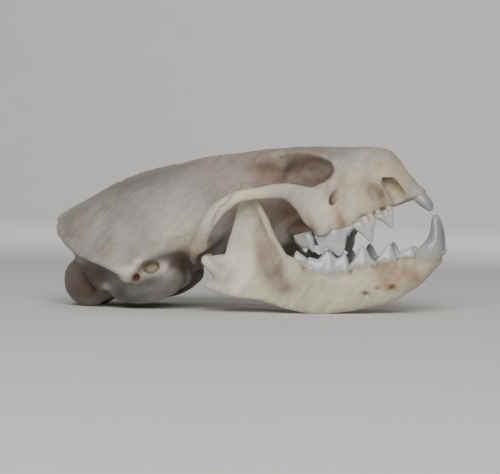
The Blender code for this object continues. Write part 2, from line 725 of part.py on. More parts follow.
def tooth_canine(name, cusp, place, side, collection):
    """The lower canine, which curves back to its tip."""
    tip, base, half_length, half_width, depth = cusp
    tip = Vector(tip)
    base = Vector(base)
    axis = tip - base
    bow = Vector((0.62, 0.1, 0.0))
    shape = (
        (base + Vector((-2.4, 0.0, -1.0)) * (depth / 5.0), 0.55, 0.0),
        (base + Vector((-0.9, 0.0, -1.1)), 0.88, 0.0),
        (base, 1.0, 0.0),
        (base + axis * 0.22, 0.78, 0.75),
        (base + axis * 0.42, 0.56, 1.05),
        (base + axis * 0.64, 0.43, 0.95),
        (base + axis * 0.86, 0.28, 0.5),
        (tip, 0.08, 0.0),
    )
    rows = []
    for middle, size, bowed in shape:
        middle = middle + bow * bowed
        rows.append((*middle, half_length * size, half_width * size))
    sweep(name, rows, place, side, collection, None, TOOTH_RINGS + 3, TOOTH_SIDES + 2)


def tooth_blade(name, blade, place, side, collection):
    """A cheek tooth: its biting edge's outline, as thick as a wedge under it."""
    gum, root, out_rear, out_front, half_width, edge = blade
    edge_at = spline(edge)
    first = edge[0][0]
    last = edge[-1][0]

    def surface(t, angle):
        ahead = first + (last - first) * t
        out = out_rear + (out_front - out_rear) * t
        level = edge_at(ahead)[0]
        belly = gum + (level - gum) * 0.2
        if angle is None:
            return ahead, side * out, belly
        rise = sin(angle)
        round_end = max(0.0, 1.0 - abs(2.0 * t - 1.0) ** 4) ** 0.5
        width = half_width * (0.45 + 0.55 * round_end)
        across = width * signed_power(cos(angle), 2.0 / 1.5 if rise > 0 else 2.0 / 2.6)
        height = (level - belly) if rise > 0 else (belly - root)
        return ahead, side * out + across, belly + height * signed_power(rise, 1.0)

    closed_body(name, surface, place, collection, len(edge) + 3, TOOTH_SIDES + 1)


def add_teeth(blades, cusps, place, side, collection):
    """Set a row of teeth, made from its named sizes, on one side."""
    for name, blade in blades.items():
        tooth_blade(f"{name}_{side}", blade, place, side, collection)
    for number, cusp in enumerate(cusps):
        tooth_cusp(f"cusp_{number}_{side}", cusp, place, side, collection)


def nuchal_rim(t):
    """The nuchal crest flares backwards, and outwards at its lower end."""
    outwards = 1.0 - t
    return (-1.0, 0.9 * outwards, -0.15 - 0.2 * outwards)


def model_cranium(parts):
    """Braincase, snout and arches in one piece, before the teeth and the parting cuts."""
    forms = new_group("cranium_forms")
    whole = hull("cranium", BRAINCASE, parts)
    for name, rows in (
        ("frontal", FRONTAL),
        ("orbit_wall", ORBIT_WALL),
        ("rostrum", ROSTRUM),
        ("maxilla", MAXILLA),
        ("palatine", PALATINE),
        ("occiput", OCCIPUT),
        ("sphenoid", SPHENOID),
    ):
        hull(name, rows, forms)
    combine(whole, forms, "UNION", "MANIFOLD")
    orbits = new_group("orbits")
    for side in (-1, 1):
        rounded("orbit", ORBIT, skull_place, side, orbits)
        rounded("orbit_front", ORBIT_FRONT, skull_place, side, orbits)
    combine(whole, orbits, "DIFFERENCE", "MANIFOLD")

    forms = new_group("cranium_bars")
    sweep("sagittal_crest", SAGITTAL_CREST, skull_place, 1, forms)
    for side in (-1, 1):
        sweep(
            "nuchal_crest", NUCHAL_CREST, skull_place, side, forms, nuchal_rim, by_edge=True
        )
        sweep("arch", ARCH, skull_place, side, forms, None, 44, 20)
        sweep("cheek", CHEEK, skull_place, side, forms)
        sweep("arch_root", ARCH_ROOT, skull_place, side, forms)
        sweep("glenoid", GLENOID, skull_place, side, forms, lambda t: (0.0, 0.0, 1.0))
        sweep("postglenoid", POSTGLENOID, skull_place, side, forms, lambda t: (0.0, 0.0, 1.0))
        sweep("ear_shelf", EAR_SHELF, skull_place, side, forms)
        sweep("temporal_line", TEMPORAL_LINE, skull_place, side, forms)
        sweep("postorbital_ridge", POSTORBITAL_RIDGE, skull_place, side, forms)
        sweep("orbit_front_rim", ORBIT_FRONT_RIM, skull_place, side, forms)
        sweep("orbit_spine", ORBIT_SPINE, skull_place, side, forms)
        sweep("pterygoid", PTERYGOID, skull_place, side, forms)
        sweep("paroccipital", PAROCCIPITAL, skull_place, side, forms)
        for name, form in (
            ("condyle", CONDYLE),
            ("mastoid", MASTOID),
            ("postorbital", POSTORBITAL),
            ("canine_bulge", CANINE_BULGE),
            ("premaxilla", PREMAXILLA),
        ):
            rounded(name, form, skull_place, side, forms)
    combine(whole, forms, "UNION", "MANIFOLD")

    openings = new_group("cranium_openings")
    for name, form in (
        ("foramen_magnum", FORAMEN_MAGNUM),
        ("palate_hollow", PALATE_HOLLOW),
        ("choana", CHOANA),
    ):
        rounded(name, form, skull_place, 1, openings)
    sweep("nasal_opening", NASAL_OPENING, skull_place, 1, openings)
    for side in (-1, 1):
        rounded("condyle_dimple", CONDYLE_DIMPLE, skull_place, side, openings)
        sweep("canine_socket", CANINE_SOCKET, skull_place, side, openings)
        sweep("infraorbital", INFRAORBITAL, skull_place, side, openings)
        rounded("stylomastoid", STYLOMASTOID, skull_place, side, openings)
    combine(whole, openings, "DIFFERENCE", "MANIFOLD")
    smooth_fine(whole, VOXEL, SMOOTHING_STEPS, CRANIUM_TRIANGLES)
    return whole


def model_bulla(name, side, parts):
    """The hollow-looking ear capsule with its short tube and opening."""
    forms = new_group("bulla_forms")
    bulla = rounded(name, BULLA, skull_place, side, parts)
    rounded("bulla_beak", BULLA_BEAK, skull_place, side, forms)
    sweep("ear_tube", EAR_TUBE, skull_place, side, forms, lambda t: (0.0, 0.0, 1.0))
    combine(bulla, forms, "UNION", "MANIFOLD")
    smooth_fine(bulla, VOXEL, SMOOTHING_STEPS, BULLA_TRIANGLES)
    return bulla


def grown_copy(item, distance, collection):
    """A copy of a body whose surface lies further out."""
    mesh = bmesh.new()
    mesh.from_mesh(item.data)
    mesh.normal_update()
    places = [vert.co + vert.normal * distance for vert in mesh.verts]
    for vert, place in zip(mesh.verts, places):
        vert.co = place
    return add_object(item.name + "_grown", mesh, collection)


def part_cranium(whole, parts):
    """Cut the cranium into its named nodes."""
    cuts = new_group("parting_cuts")
    half_gap = GAP / 2.0
    ahead, out, up, along, _, half_wide, half_tall = SNOUT_CUT
    block("snout_cut", (ahead, out, up), (along, 0.0, 0.0), (half_gap, half_wide, half_tall), cuts)
    for side in (-1, 1):
        for name, cut in (("front_cut", ARCH_FRONT_CUT), ("rear_cut", ARCH_REAR_CUT)):
            ahead, out, up, along, other, half_wide, half_tall = cut
            if name == "front_cut":
                direction = (along, side * other, 0.0)
            else:
                direction = (along, 0.0, other)
            centre = (ahead, side * out, up)
            block(name, centre, direction, (half_gap, half_wide, half_tall), cuts)
    combine(whole, cuts, "DIFFERENCE", "EXACT")

    mesh = bmesh.new()
    mesh.from_mesh(whole.data)
    found = sorted(shells(mesh), key=shell_volume, reverse=True)[:4]
    pieces = []
    for shell in found:
        piece = bmesh.new()
        copies = {}
        for face in shell:
            for vert in face.verts:
                if vert not in copies:
                    copies[vert] = piece.verts.new(vert.co)
            piece.faces.new([copies[vert] for vert in face.verts])
        pieces.append(add_object("piece", piece, parts))
    mesh.free()
    bpy.data.objects.remove(whole, do_unlink=True)
    for piece in pieces:
        corners = [vert.co for vert in piece.data.vertices]
        middle_out = sum(corner.y for corner in corners) / len(corners)
        middle_ahead = sum(corner.x for corner in corners) / len(corners)
        if middle_out < -6.0:
            piece.name = "zygomatic_arch_right"
        elif middle_out > 6.0:
            piece.name = "zygomatic_arch_left"
        elif middle_ahead > 5.0:
            piece.name = "snout"
        else:
            piece.name = "braincase"
    return pieces


def jaw_hull(name, rows, side, collection):
    """The jaw half's bar, from its stations along the jaw."""
    at = spline(rows)
    first = rows[0][0]
    last = rows[-1][0]

    def surface(t, angle):
        ahead = first + (last - first) * t
        top, out, half_thick, bottom, square = at(ahead)
        middle = (top + bottom) / 2.0
        if angle is None:
            return ahead, side * out, middle
        power = 2.0 / square
        return (
            ahead,
            side * (out + half_thick * signed_power(cos(angle), power)),
            middle + (top - bottom) / 2.0 * signed_power(sin(angle), power),
        )

    return closed_body(name, surface, jaw_place_on(side), collection, 60)


def model_jaw(name, side, parts):
    """One half of the lower jaw."""
    jaw_place = jaw_place_on(side)
    forms = new_group("jaw_forms")
    jaw = jaw_hull(name, JAW_BODY, side, parts)
    sweep("coronoid", CORONOID, jaw_place, side, forms, lambda t: (1.0, RAMUS_SLANT, 0.0), 40, 24)
    for label, rows in (
        ("coronoid_edge", CORONOID_EDGE),
        ("jaw_angle", JAW_ANGLE),
        ("jaw_neck", JAW_NECK),
        ("jaw_notch_rim", JAW_NOTCH_RIM),
    ):
        sweep(label, rows, jaw_place, side, forms, None, 40, 24)
    sweep("jaw_condyle", JAW_CONDYLE, jaw_place, side, forms, lambda t: (0.0, 0.0, 1.0))
    sweep("symphysis", SYMPHYSIS, jaw_place, side, forms)
    combine(jaw, forms, "UNION", "MANIFOLD")
    openings = new_group("jaw_openings")
    rounded("masseter_hollow", MASSETER_HOLLOW, jaw_place, side, openings)
    for number, form in enumerate(MENTAL_HOLES):
        rounded(f"mental_hole_{number}", form, jaw_place, side, openings)
    combine(jaw, openings, "DIFFERENCE", "MANIFOLD")
    smooth_fine(jaw, VOXEL, SMOOTHING_STEPS, JAW_TRIANGLES)
    return jaw


def floor_block(collection):
    """What lies under the floor's level."""
    mesh = bmesh.new()
    bmesh.ops.create_cube(mesh, size=2.0)
    for vert in mesh.verts:
        vert.co = Vector((60.0 * vert.co.x, 40.0 * vert.co.y, FLOOR_LEVEL - 5.0 + 5.0 * vert.co.z))
    return add_object("floor_block", mesh, collection)


def bone_material(name, finish):
    colour, roughness = finish
    material = bpy.data.materials.new(name)
    material.use_nodes = True
    shader = material.node_tree.nodes["Principled BSDF"]
    shader.inputs["Base Color"].default_value = (*colour, 1.0)
    shader.inputs["Roughness"].default_value = roughness
    shader.inputs["Metallic"].default_value = 0.0
    material.diffuse_color = (*colour, 1.0)
    return material


def finish_node(item, material):
    """Scale a node to metres and give it its material."""
    item.data.transform(Matrix.Scale(METRES_PER_MM, 4))
    item.data.materials.clear()
    item.data.materials.append(material)
    item.data.name = item.name


def main():
    for item in list(bpy.data.objects):
        bpy.data.objects.remove(item, do_unlink=True)
    parts = new_group("mink_skull")

    cranium = model_cranium(parts)
    bullae = []
    for word, side in (("right", -1), ("left", 1)):
        bullae.append(model_bulla(f"auditory_bulla_{word}", side, parts))
    seats = new_group("bulla_seats")
    for bulla in bullae:
        grown_copy(bulla, GAP, seats)
    combine(cranium, seats, "DIFFERENCE", "EXACT")
    keep_largest(cranium)
    teeth = new_group("upper_teeth")
    for side in (-1, 1):
        kept = {
            name: blade for name, blade in UPPER_BLADES.items() if side < 0 or name not in LOST_LEFT
        }
        add_teeth(kept, UPPER_INNER_CUSPS + UPPER_INCISORS, skull_place, side, teeth)
    combine(cranium, teeth, "UNION", "EXACT")
    keep_largest(cranium)
    pieces = part_cranium(cranium, parts)

    for bulla, side in zip(bullae, (-1, 1)):
        hole = new_group("ear_hole")
        sweep("ear_opening", EAR_OPENING, skull_place, side, hole, lambda t: (0.0, 0.0, 1.0), 8, 12)
        combine(bulla, hole, "DIFFERENCE", "EXACT")

    jaws = []
    for word, side in (("right", -1), ("left", 1)):
        jaw = model_jaw(f"mandible_{word}", side, parts)
        teeth = new_group("lower_teeth")
        jaw_place = jaw_place_on(side)
        add_teeth(LOWER_BLADES, LOWER_INCISORS, jaw_place, side, teeth)
        tooth_canine("lower_canine", LOWER_CANINE, jaw_place, side, teeth)
        combine(jaw, teeth, "UNION", "EXACT")
        jaws.append(jaw)

    finishes = {
        "braincase": BRAINCASE_BONE,
        "snout": SNOUT_BONE,
        "zygomatic_arch": ARCH_BONE,
        "auditory_bulla": BULLA_BONE,
        "mandible": JAW_BONE,
    }
    for item in pieces + bullae + jaws:
        below = new_group("floor_cut")
        floor_block(below)
        combine(item, below, "DIFFERENCE", "EXACT")
        keep_largest(item)
        kind = next(key for key in finishes if item.name.startswith(key))
        finish_node(item, bone_material(item.name + "_bone", finishes[kind]))


main()
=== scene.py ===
"""Mink skull with its lower jaw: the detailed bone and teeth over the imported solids.

Shapes are worked out in millimetres and scaled to metres at the end. Points are written as
(ahead, out, up): ahead towards the snout, out from the midline, up. The skull's points are
measured from the jaw joint, with its palate level, and the jaw's points from the origin.
"""

import json
from math import acos, atan2, copysign, cos, pi, radians, sin

import bmesh
import bpy
import numpy as np
from bpy.props import FloatProperty, FloatVectorProperty, IntProperty, PointerProperty
from mathutils import Matrix, Vector
from mathutils.bvhtree import BVHTree

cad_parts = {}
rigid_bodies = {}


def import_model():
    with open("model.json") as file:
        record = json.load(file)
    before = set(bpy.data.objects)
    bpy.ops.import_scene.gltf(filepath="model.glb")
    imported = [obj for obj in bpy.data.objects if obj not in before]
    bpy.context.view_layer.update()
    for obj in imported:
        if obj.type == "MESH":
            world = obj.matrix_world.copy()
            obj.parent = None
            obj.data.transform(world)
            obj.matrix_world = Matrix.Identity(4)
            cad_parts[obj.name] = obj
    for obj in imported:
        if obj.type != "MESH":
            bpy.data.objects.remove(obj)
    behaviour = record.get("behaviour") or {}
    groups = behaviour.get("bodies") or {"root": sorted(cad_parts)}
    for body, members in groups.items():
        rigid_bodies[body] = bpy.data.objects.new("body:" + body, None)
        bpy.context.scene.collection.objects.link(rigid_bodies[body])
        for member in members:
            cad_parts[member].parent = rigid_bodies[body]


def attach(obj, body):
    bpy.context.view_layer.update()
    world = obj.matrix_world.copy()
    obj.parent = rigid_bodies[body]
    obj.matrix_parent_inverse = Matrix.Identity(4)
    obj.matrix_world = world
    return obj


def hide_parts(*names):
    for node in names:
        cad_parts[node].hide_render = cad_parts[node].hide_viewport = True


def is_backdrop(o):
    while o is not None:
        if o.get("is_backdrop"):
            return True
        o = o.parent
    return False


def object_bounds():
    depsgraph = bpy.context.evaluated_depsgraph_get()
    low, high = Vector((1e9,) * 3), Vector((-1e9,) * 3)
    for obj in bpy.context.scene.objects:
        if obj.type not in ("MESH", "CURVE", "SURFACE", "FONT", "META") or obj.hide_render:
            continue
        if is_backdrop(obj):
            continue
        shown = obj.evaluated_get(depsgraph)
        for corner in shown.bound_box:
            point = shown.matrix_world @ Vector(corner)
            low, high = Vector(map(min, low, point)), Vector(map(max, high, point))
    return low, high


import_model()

CAD_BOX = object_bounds()

bl_info = {
    "name": "Mink skull",
    "version": (1, 0, 0),
    "blender": (4, 5, 0),
    "location": "3D View > Sidebar > Mink skull",
    "description": "Builds the bone, teeth and studio of a life-size mink skull",
    "category": "Object",
}

MM_PER_METRE = 1000.0

# Pose of the skull on its jaw
JOINT_AHEAD = -5.8
JOINT_UP = 9.7
NOSE_UP = radians(17.0)

# Word of each side, and the sign of its out
SIDE_WORDS = (("right", -1), ("left", 1))

# Gap between the jaw halves
SYMPHYSIS_GAP = 0.3

# Lowest level kept when the underside is made flat
FLOOR_LEVEL = 0.0

# Stations of the midline forms: ahead, top, half width, height of the widest place,
# bottom, squareness above, squareness below
BRAINCASE = (
    (-26.2, 12.8, 2.6, 11.4, 10.5, 2.0, 2.0),
    (-25.3, 13.9, 6.2, 10.4, 8.8, 2.0, 2.0),
    (-24.4, 14.5, 8.4, 9.0, 7.2, 2.0, 2.0),
    (-23.5, 15.0, 10.0, 7.4, 2.6, 2.0, 2.1),
    (-21.0, 15.9, 12.2, 5.6, -2.0, 1.9, 2.3),
    (-17.0, 16.9, 13.6, 4.8, -2.4, 1.9, 2.5),
    (-12.0, 17.8, 14.2, 5.2, -2.0, 1.9, 2.6),
    (-8.0, 18.0, 14.1, 5.8, -1.7, 1.9, 2.6),
    (-4.0, 17.9, 13.2, 6.4, -1.4, 1.9, 2.5),
    (0.0, 17.6, 11.4, 7.0, -1.0, 1.9, 2.3),
    (4.0, 17.2, 9.0, 8.0, -0.5, 1.9, 2.1),
    (7.5, 16.8, 7.1, 9.2, 0.2, 2.0, 2.0),
    (11.0, 16.3, 6.0, 10.4, 1.2, 2.1, 2.0),
    (14.5, 15.5, 5.6, 10.6, 2.0, 2.2, 2.0),
)
FRONTAL = (
    (8.0, 16.6, 5.0, 14.2, 12.4, 2.2, 2.0),
    (11.0, 16.4, 6.0, 13.9, 11.4, 2.3, 2.0),
    (14.0, 15.9, 7.0, 13.8, 11.2, 2.4, 2.0),
    (17.0, 15.2, 7.8, 13.4, 10.8, 2.4, 2.0),
    (20.0, 14.6, 7.3, 12.9, 9.8, 2.4, 2.0),
    (23.0, 13.8, 7.2, 11.5, 8.0, 2.3, 2.0),
    (26.0, 12.9, 6.9, 9.2, 5.0, 2.1, 2.0),
    (29.0, 11.8, 5.2, 7.6, 4.0, 2.0, 2.0),
    (31.0, 9.6, 3.4, 6.4, 4.0, 2.0, 2.0),
)
ORBIT_WALL = (
    (6.0, 14.0, 5.6, 8.0, 0.6, 2.0, 2.0),
    (12.0, 14.0, 5.4, 8.6, 0.4, 2.0, 2.0),
    (17.0, 13.6, 5.0, 8.0, 0.2, 2.2, 2.2),
    (22.0, 12.6, 5.4, 6.0, 0.0, 2.4, 2.4),
    (27.0, 11.6, 6.2, 5.0, 0.0, 2.4, 2.4),
)
ROSTRUM = (
    (22.0, 12.4, 7.6, 7.6, 0.4, 2.1, 2.4),
    (24.5, 12.6, 8.3, 7.0, -0.4, 2.1, 2.4),
    (27.0, 12.5, 8.2, 5.8, -0.7, 2.1, 2.6),
    (29.0, 12.0, 7.8, 4.8, -0.6, 2.1, 2.8),
    (31.0, 11.5, 7.4, 4.0, -0.4, 2.1, 2.8),
    (33.5, 10.5, 7.1, 3.2, -0.3, 2.1, 2.8),
    (35.5, 9.4, 6.3, 3.0, -0.2, 2.1, 2.6),
    (36.8, 7.1, 5.3, 2.6, -0.1, 2.2, 2.4),
    (37.7, 4.3, 4.3, 2.0, 0.1, 2.2, 2.2),
    (38.7, 1.9, 3.3, 0.8, -0.1, 2.2, 2.2),
)
MAXILLA = (
    (14.4, 1.2, 7.2, 0.1, -1.0, 2.4, 3.0),
    (16.0, 1.8, 9.0, 0.2, -1.5, 2.4, 3.0),
    (19.0, 3.0, 10.5, 0.4, -2.0, 2.4, 3.4),
    (22.0, 4.2, 10.7, 0.6, -2.0, 2.4, 3.6),
    (25.0, 5.2, 9.8, 0.9, -1.6, 2.4, 3.6),
    (28.0, 6.0, 8.5, 1.1, -1.2, 2.4, 3.4),
    (31.0, 6.0, 7.4, 1.2, -0.6, 2.4, 3.2),
    (34.0, 5.0, 7.0, 1.3, -0.4, 2.4, 3.0),
    (36.4, 3.6, 5.6, 1.2, -0.2, 2.4, 2.6),
)
PALATINE = (
    (8.6, 1.6, 3.2, 0.0, -2.2, 2.4, 2.6),
    (11.5, 2.2, 3.7, 0.0, -2.3, 2.4, 2.8),
    (14.5, 2.4, 5.0, 0.0, -1.6, 2.4, 2.8),
    (18.0, 2.4, 6.2, 0.0, -1.0, 2.4, 2.8),
)
OCCIPUT = (
    (-25.2, 5.2, 3.6, 3.0, -0.8, 2.0, 2.0),
    (-24.4, 6.2, 6.0, 3.2, -1.6, 2.2, 2.3),
    (-23.4, 7.6, 8.0, 3.2, -2.2, 2.2, 2.4),
    (-22.0, 9.4, 9.8, 3.0, -2.5, 2.2, 2.5),
    (-19.0, 10.4, 11.4, 3.0, -2.6, 2.2, 2.6),
    (-14.0, 9.0, 10.6, 2.6, -2.0, 2.2, 2.6),
)
SPHENOID = (
    (-8.0, 2.0, 4.2, 0.0, -1.9, 2.2, 2.6),
    (-2.0, 2.0, 4.0, 0.2, -1.4, 2.2, 2.6),
    (4.0, 3.0, 3.6, 1.2, -0.2, 2.2, 2.4),
    (10.0, 4.0, 3.6, 2.0, 0.4, 2.2, 2.4),
)

# Ridges and bars: ahead, out, up, half size along the rim's direction, half thickness
SAGITTAL_CREST = (
    (-26.4, 0.0, 12.9, 1.8, 0.75),
    (-25.0, 0.0, 13.9, 1.7, 0.60),
    (-20.0, 0.0, 15.1, 1.6, 0.45),
    (-14.0, 0.0, 16.5, 1.6, 0.40),
    (-8.0, 0.0, 17.1, 1.4, 0.40),
    (-3.0, 0.0, 17.2, 1.1, 0.45),
)
NUCHAL_CREST = (
    (-13.8, 15.7, 0.1, 1.3, 0.85),
    (-16.0, 15.9, 1.5, 1.6, 0.80),
    (-18.4, 15.4, 3.6, 1.9, 0.70),
    (-21.2, 14.0, 5.5, 2.1, 0.70),
    (-24.3, 10.8, 8.3, 2.3, 0.75),
    (-26.5, 6.1, 11.1, 2.4, 0.85),
    (-27.2, 2.6, 12.5, 2.4, 0.95),
    (-27.1, 0.0, 13.0, 2.3, 1.00),
)
ARCH = (
    (22.6, 11.0, 2.6, 4.4, 1.35),
    (21.2, 11.9, 3.0, 4.1, 1.15),
    (19.3, 13.3, 5.1, 2.5, 0.95),
    (17.0, 14.8, 7.1, 1.65, 0.80),
    (14.4, 16.0, 7.8, 1.30, 0.78),
    (11.6, 17.0, 8.2, 1.12, 0.78),
    (9.0, 17.8, 8.5, 1.15, 0.78),
    (6.3, 18.3, 7.8, 1.32, 0.80),
    (4.2, 18.4, 6.7, 1.40, 0.82),
    (2.4, 18.2, 5.2, 1.40, 0.90),
    (1.0, 17.4, 3.7, 1.35, 1.10),
    (-0.8, 15.6, 2.75, 1.30, 1.50),
    (-2.8, 12.8, 2.7, 1.40, 2.00),
    (-4.4, 10.6, 2.9, 1.60, 2.50),
)
CHEEK = (
    (29.0, 5.4, 4.0, 3.0, 1.2),
    (26.8, 7.4, 3.4, 4.0, 1.3),
    (24.8, 8.9, 2.8, 4.5, 1.35),
    (23.0, 10.2, 2.6, 4.5, 1.3),
    (21.4, 11.4, 2.9, 4.0, 1.2),
)
ARCH_ROOT = (
    (19.9, 13.0, 5.0, 0.9, 0.9),
    (20.2, 12.5, 2.6, 1.3, 1.0),
    (20.6, 11.7, -0.1, 1.5, 1.0),
    (20.8, 11.0, -1.9, 1.2, 0.9),
)
GLENOID = (
    (-0.6, 7.6, 3.3, 1.90, 4.2),
    (-0.5, 10.4, 2.7, 1.50, 3.6),
    (-0.5, 13.0, 2.45, 1.35, 2.6),
    (-0.3, 15.6, 2.25, 1.35, 2.0),
    (0.1, 17.4, 2.15, 1.35, 1.4),
)
POSTGLENOID = (
    (-2.5, 9.6, 0.9, 1.8, 0.70),
    (-2.4, 12.0, 0.9, 1.8, 0.75),
    (-2.2, 14.2, 0.9, 1.6, 0.80),
    (-1.75, 15.8, 1.3, 1.4, 0.85),
    (-0.9, 16.9, 2.1, 1.2, 1.00),
)
EAR_SHELF = (
    (-1.2, 15.4, 3.5, 1.1, 1.1),
    (-5.0, 13.9, 3.4, 1.2, 0.9),
    (-8.6, 13.9, 3.3, 1.1, 0.9),
    (-11.4, 14.3, 2.6, 1.0, 0.9),
    (-13.4, 14.8, 1.4, 0.9, 0.9),
)
TEMPORAL_LINE = (
    (-3.0, 0.2, 17.5, 0.55, 0.5),
    (3.0, 1.3, 17.3, 0.45, 0.5),
    (8.0, 3.2, 16.4, 0.45, 0.5),
    (13.0, 5.6, 15.0, 0.50, 0.6),
    (16.6, 7.6, 13.9, 0.55, 0.8),
)
POSTORBITAL_RIDGE = (
    (17.3, 7.1, 13.5, 1.0, 0.90),
    (16.7, 6.2, 12.5, 1.1, 0.75),
    (15.9, 5.5, 11.3, 1.0, 0.55),
    (15.1, 5.3, 10.1, 0.9, 0.40),
    (14.3, 5.1, 8.9, 0.8, 0.30),
)
ORBIT_FRONT_RIM = (
    (26.0, 6.6, 10.0, 0.6, 0.6),
    (26.4, 7.3, 8.8, 0.8, 0.8),
    (25.7, 8.4, 7.4, 1.1, 1.0),
    (24.2, 9.7, 6.0, 1.3, 1.1),
    (22.4, 11.0, 5.5, 1.35, 1.0),
    (20.8, 12.1, 5.3, 1.5, 0.9),
)
ORBIT_SPINE = (
    (26.9, 6.2, 9.8, 0.7, 0.8),
    (25.5, 7.0, 10.2, 0.5, 0.6),
    (24.5, 7.4, 10.6, 0.25, 0.3),
)
PTERYGOID = (
    (12.0, 3.1, -0.6, 1.7, 0.55),
    (8.0, 2.9, -0.6, 1.9, 0.42),
    (4.5, 2.9, -0.9, 1.7, 0.40),
    (2.2, 3.1, -2.0, 0.6, 0.36),
    (0.8, 3.3, -2.5, 0.35, 0.32),
)
PAROCCIPITAL = (
    (-20.8, 10.8, 3.8, 1.8, 1.5),
    (-20.4, 10.8, 1.4, 1.5, 1.2),
    (-19.7, 10.7, 0.2, 1.1, 0.9),
    (-19.2, 10.6, -0.6, 0.6, 0.5),
)

# Rounded forms: ahead, out, up, half length, half width, half height, tilt in degrees
CONDYLE = (-23.7, 4.8, 1.7, 4.2, 3.0, 4.7, 12.0)
MASTOID = (-14.2, 14.1, 1.0, 1.9, 1.5, 1.9, 0.0)
POSTORBITAL = (17.2, 7.3, 13.9, 1.1, 1.6, 0.8, 0.0)
CANINE_BULGE = (33.2, 5.6, 2.7, 2.7, 2.1, 3.4, -35.0)
PREMAXILLA = (37.6, 2.2, 0.7, 1.9, 2.3, 1.1, 0.0)
BULLA = (-12.4, 8.9, -1.2, 7.2, 4.8, 3.9, -6.0)
BULLA_BEAK = (-7.6, 6.5, -1.6, 3.3, 2.9, 2.6, -6.0)
EAR_TUBE = (
    (-10.2, 8.0, -0.4, 2.6, 2.6),
    (-9.9, 11.0, 0.5, 2.2, 2.9),
    (-9.7, 12.9, 0.9, 2.0, 2.8),
)

# Openings, each a form that is cut out
FORAMEN_MAGNUM = (-26.0, 0.0, 2.9, 6.2, 3.4, 2.9, 0.0)
CONDYLE_DIMPLE = (-23.0, 9.2, 1.4, 1.3, 1.8, 3.0, 15.0)
PALATE_HOLLOW = (26.0, 0.0, -2.6, 12.5, 4.9, 2.3, 0.0)
CHOANA = (5.4, 0.0, -1.2, 5.6, 2.3, 2.5, 0.0)
NASAL_OPENING = (
    (40.5, 0.0, 6.6, 3.2, 3.0),
    (37.6, 0.0, 5.6, 3.0, 2.9),
    (35.0, 0.0, 5.4, 2.6, 2.6),
    (31.0, 0.0, 5.0, 1.8, 2.0),
)
ORBIT = (19.9, 10.8, 9.6, 6.4, 5.8, 5.4, -14.0)
ORBIT_FRONT = (22.3, 9.2, 8.8, 3.3, 4.2, 2.6, -14.0)
CANINE_SOCKET = (
    (35.6, 7.0, -2.4, 1.6, 1.5),
    (35.1, 6.9, 0.8, 1.55, 1.6),
    (34.55, 7.1, 2.7, 1.5, 1.5),
    (34.05, 7.0, 3.9, 1.4, 1.3),
    (34.25, 6.9, 4.8, 1.3, 1.2),
)
INFRAORBITAL = (
    (26.2, 9.9, 4.9, 0.60, 0.40),
    (24.8, 10.3, 4.2, 0.80, 0.60),
    (23.4, 10.75, 3.5, 1.00, 0.95),
    (22.2, 10.85, 3.0, 1.15, 1.50),
    (21.3, 10.5, 2.75, 1.20, 1.80),
    (20.5, 9.8, 2.75, 1.15, 1.60),
    (19.6, 8.9, 3.3, 1.05, 1.20),
    (18.3, 7.6, 4.8, 1.05, 0.90),
)
EAR_OPENING = (
    (-10.1, 17.0, 1.15, 1.15, 1.70),
    (-10.1, 13.6, 1.05, 1.10, 1.60),
    (-10.2, 11.8, 0.75, 0.90, 1.30),
)
STYLOMASTOID = (-13.0, 14.6, -0.15, 0.62, 2.2, 0.85, -35.0)

# Jaw half: ahead, top, out to its middle, half thickness, bottom, squareness
JAW_BODY = (
    (-4.2, 9.4, 15.2, 0.75, 4.0, 2.6),
    (-2.0, 10.2, 14.7, 0.75, 3.0, 2.8),
    (1.0, 11.0, 14.0, 0.80, 2.5, 2.8),
    (4.0, 11.6, 13.3, 0.95, 2.1, 2.8),
    (7.0, 10.9, 12.5, 1.30, 1.2, 2.7),
    (9.5, 9.8, 11.7, 1.65, 0.45, 2.5),
    (12.0, 7.9, 10.8, 1.90, 0.0, 2.4),
    (15.0, 7.1, 9.6, 2.00, -0.15, 2.4),
    (18.0, 7.2, 8.6, 2.00, 0.25, 2.4),
    (21.0, 8.1, 7.7, 2.00, 0.75, 2.4),
    (24.0, 8.8, 6.7, 2.10, 1.4, 2.4),
    (27.0, 9.5, 5.6, 2.35, 2.4, 2.3),
    (29.5, 9.9, 4.5, 2.55, 3.9, 2.3),
    (31.8, 9.6, 3.5, 2.70, 5.7, 2.2),
    (33.4, 9.8, 2.9, 2.35, 7.6, 2.1),
    (34.9, 10.2, 1.8, 1.25, 9.1, 2.0),
)
CORONOID = (
    (2.6, 13.6, 8.0, 5.4, 0.75),
    (2.0, 13.7, 11.0, 4.5, 0.70),
    (1.9, 13.7, 14.0, 3.6, 0.62),
    (1.65, 13.6, 17.0, 2.6, 0.58),
    (1.35, 13.5, 20.0, 1.7, 0.55),
    (0.95, 13.4, 22.2, 1.1, 0.50),
    (0.85, 13.3, 22.9, 0.6, 0.42),
)
CORONOID_EDGE = (
    (2.2, 13.5, 21.3, 0.45, 0.60),
    (3.2, 13.6, 19.0, 0.60, 0.95),
    (4.5, 13.5, 16.4, 0.65, 1.15),
    (5.8, 13.3, 13.3, 0.70, 1.25),
    (7.2, 13.0, 10.7, 0.80, 1.35),
    (8.8, 12.4, 8.2, 0.90, 1.35),
    (10.3, 11.9, 5.4, 0.90, 1.10),
)
JAW_CONDYLE = (
    (-5.3, 11.2, 9.3, 0.55, 0.60),
    (-5.5, 13.0, 9.3, 1.00, 0.95),
    (-5.6, 15.2, 9.3, 1.00, 0.85),
    (-5.45, 16.6, 9.15, 1.00, 0.78),
    (-5.3, 17.1, 9.1, 0.70, 0.55),
)
JAW_NECK = (
    (-5.2, 16.2, 8.8, 0.85, 0.9),
    (-4.35, 16.0, 8.0, 0.95, 0.9),
    (-3.4, 15.6, 7.2, 1.3, 0.9),
    (-2.1, 15.0, 6.2, 2.4, 0.9),
)
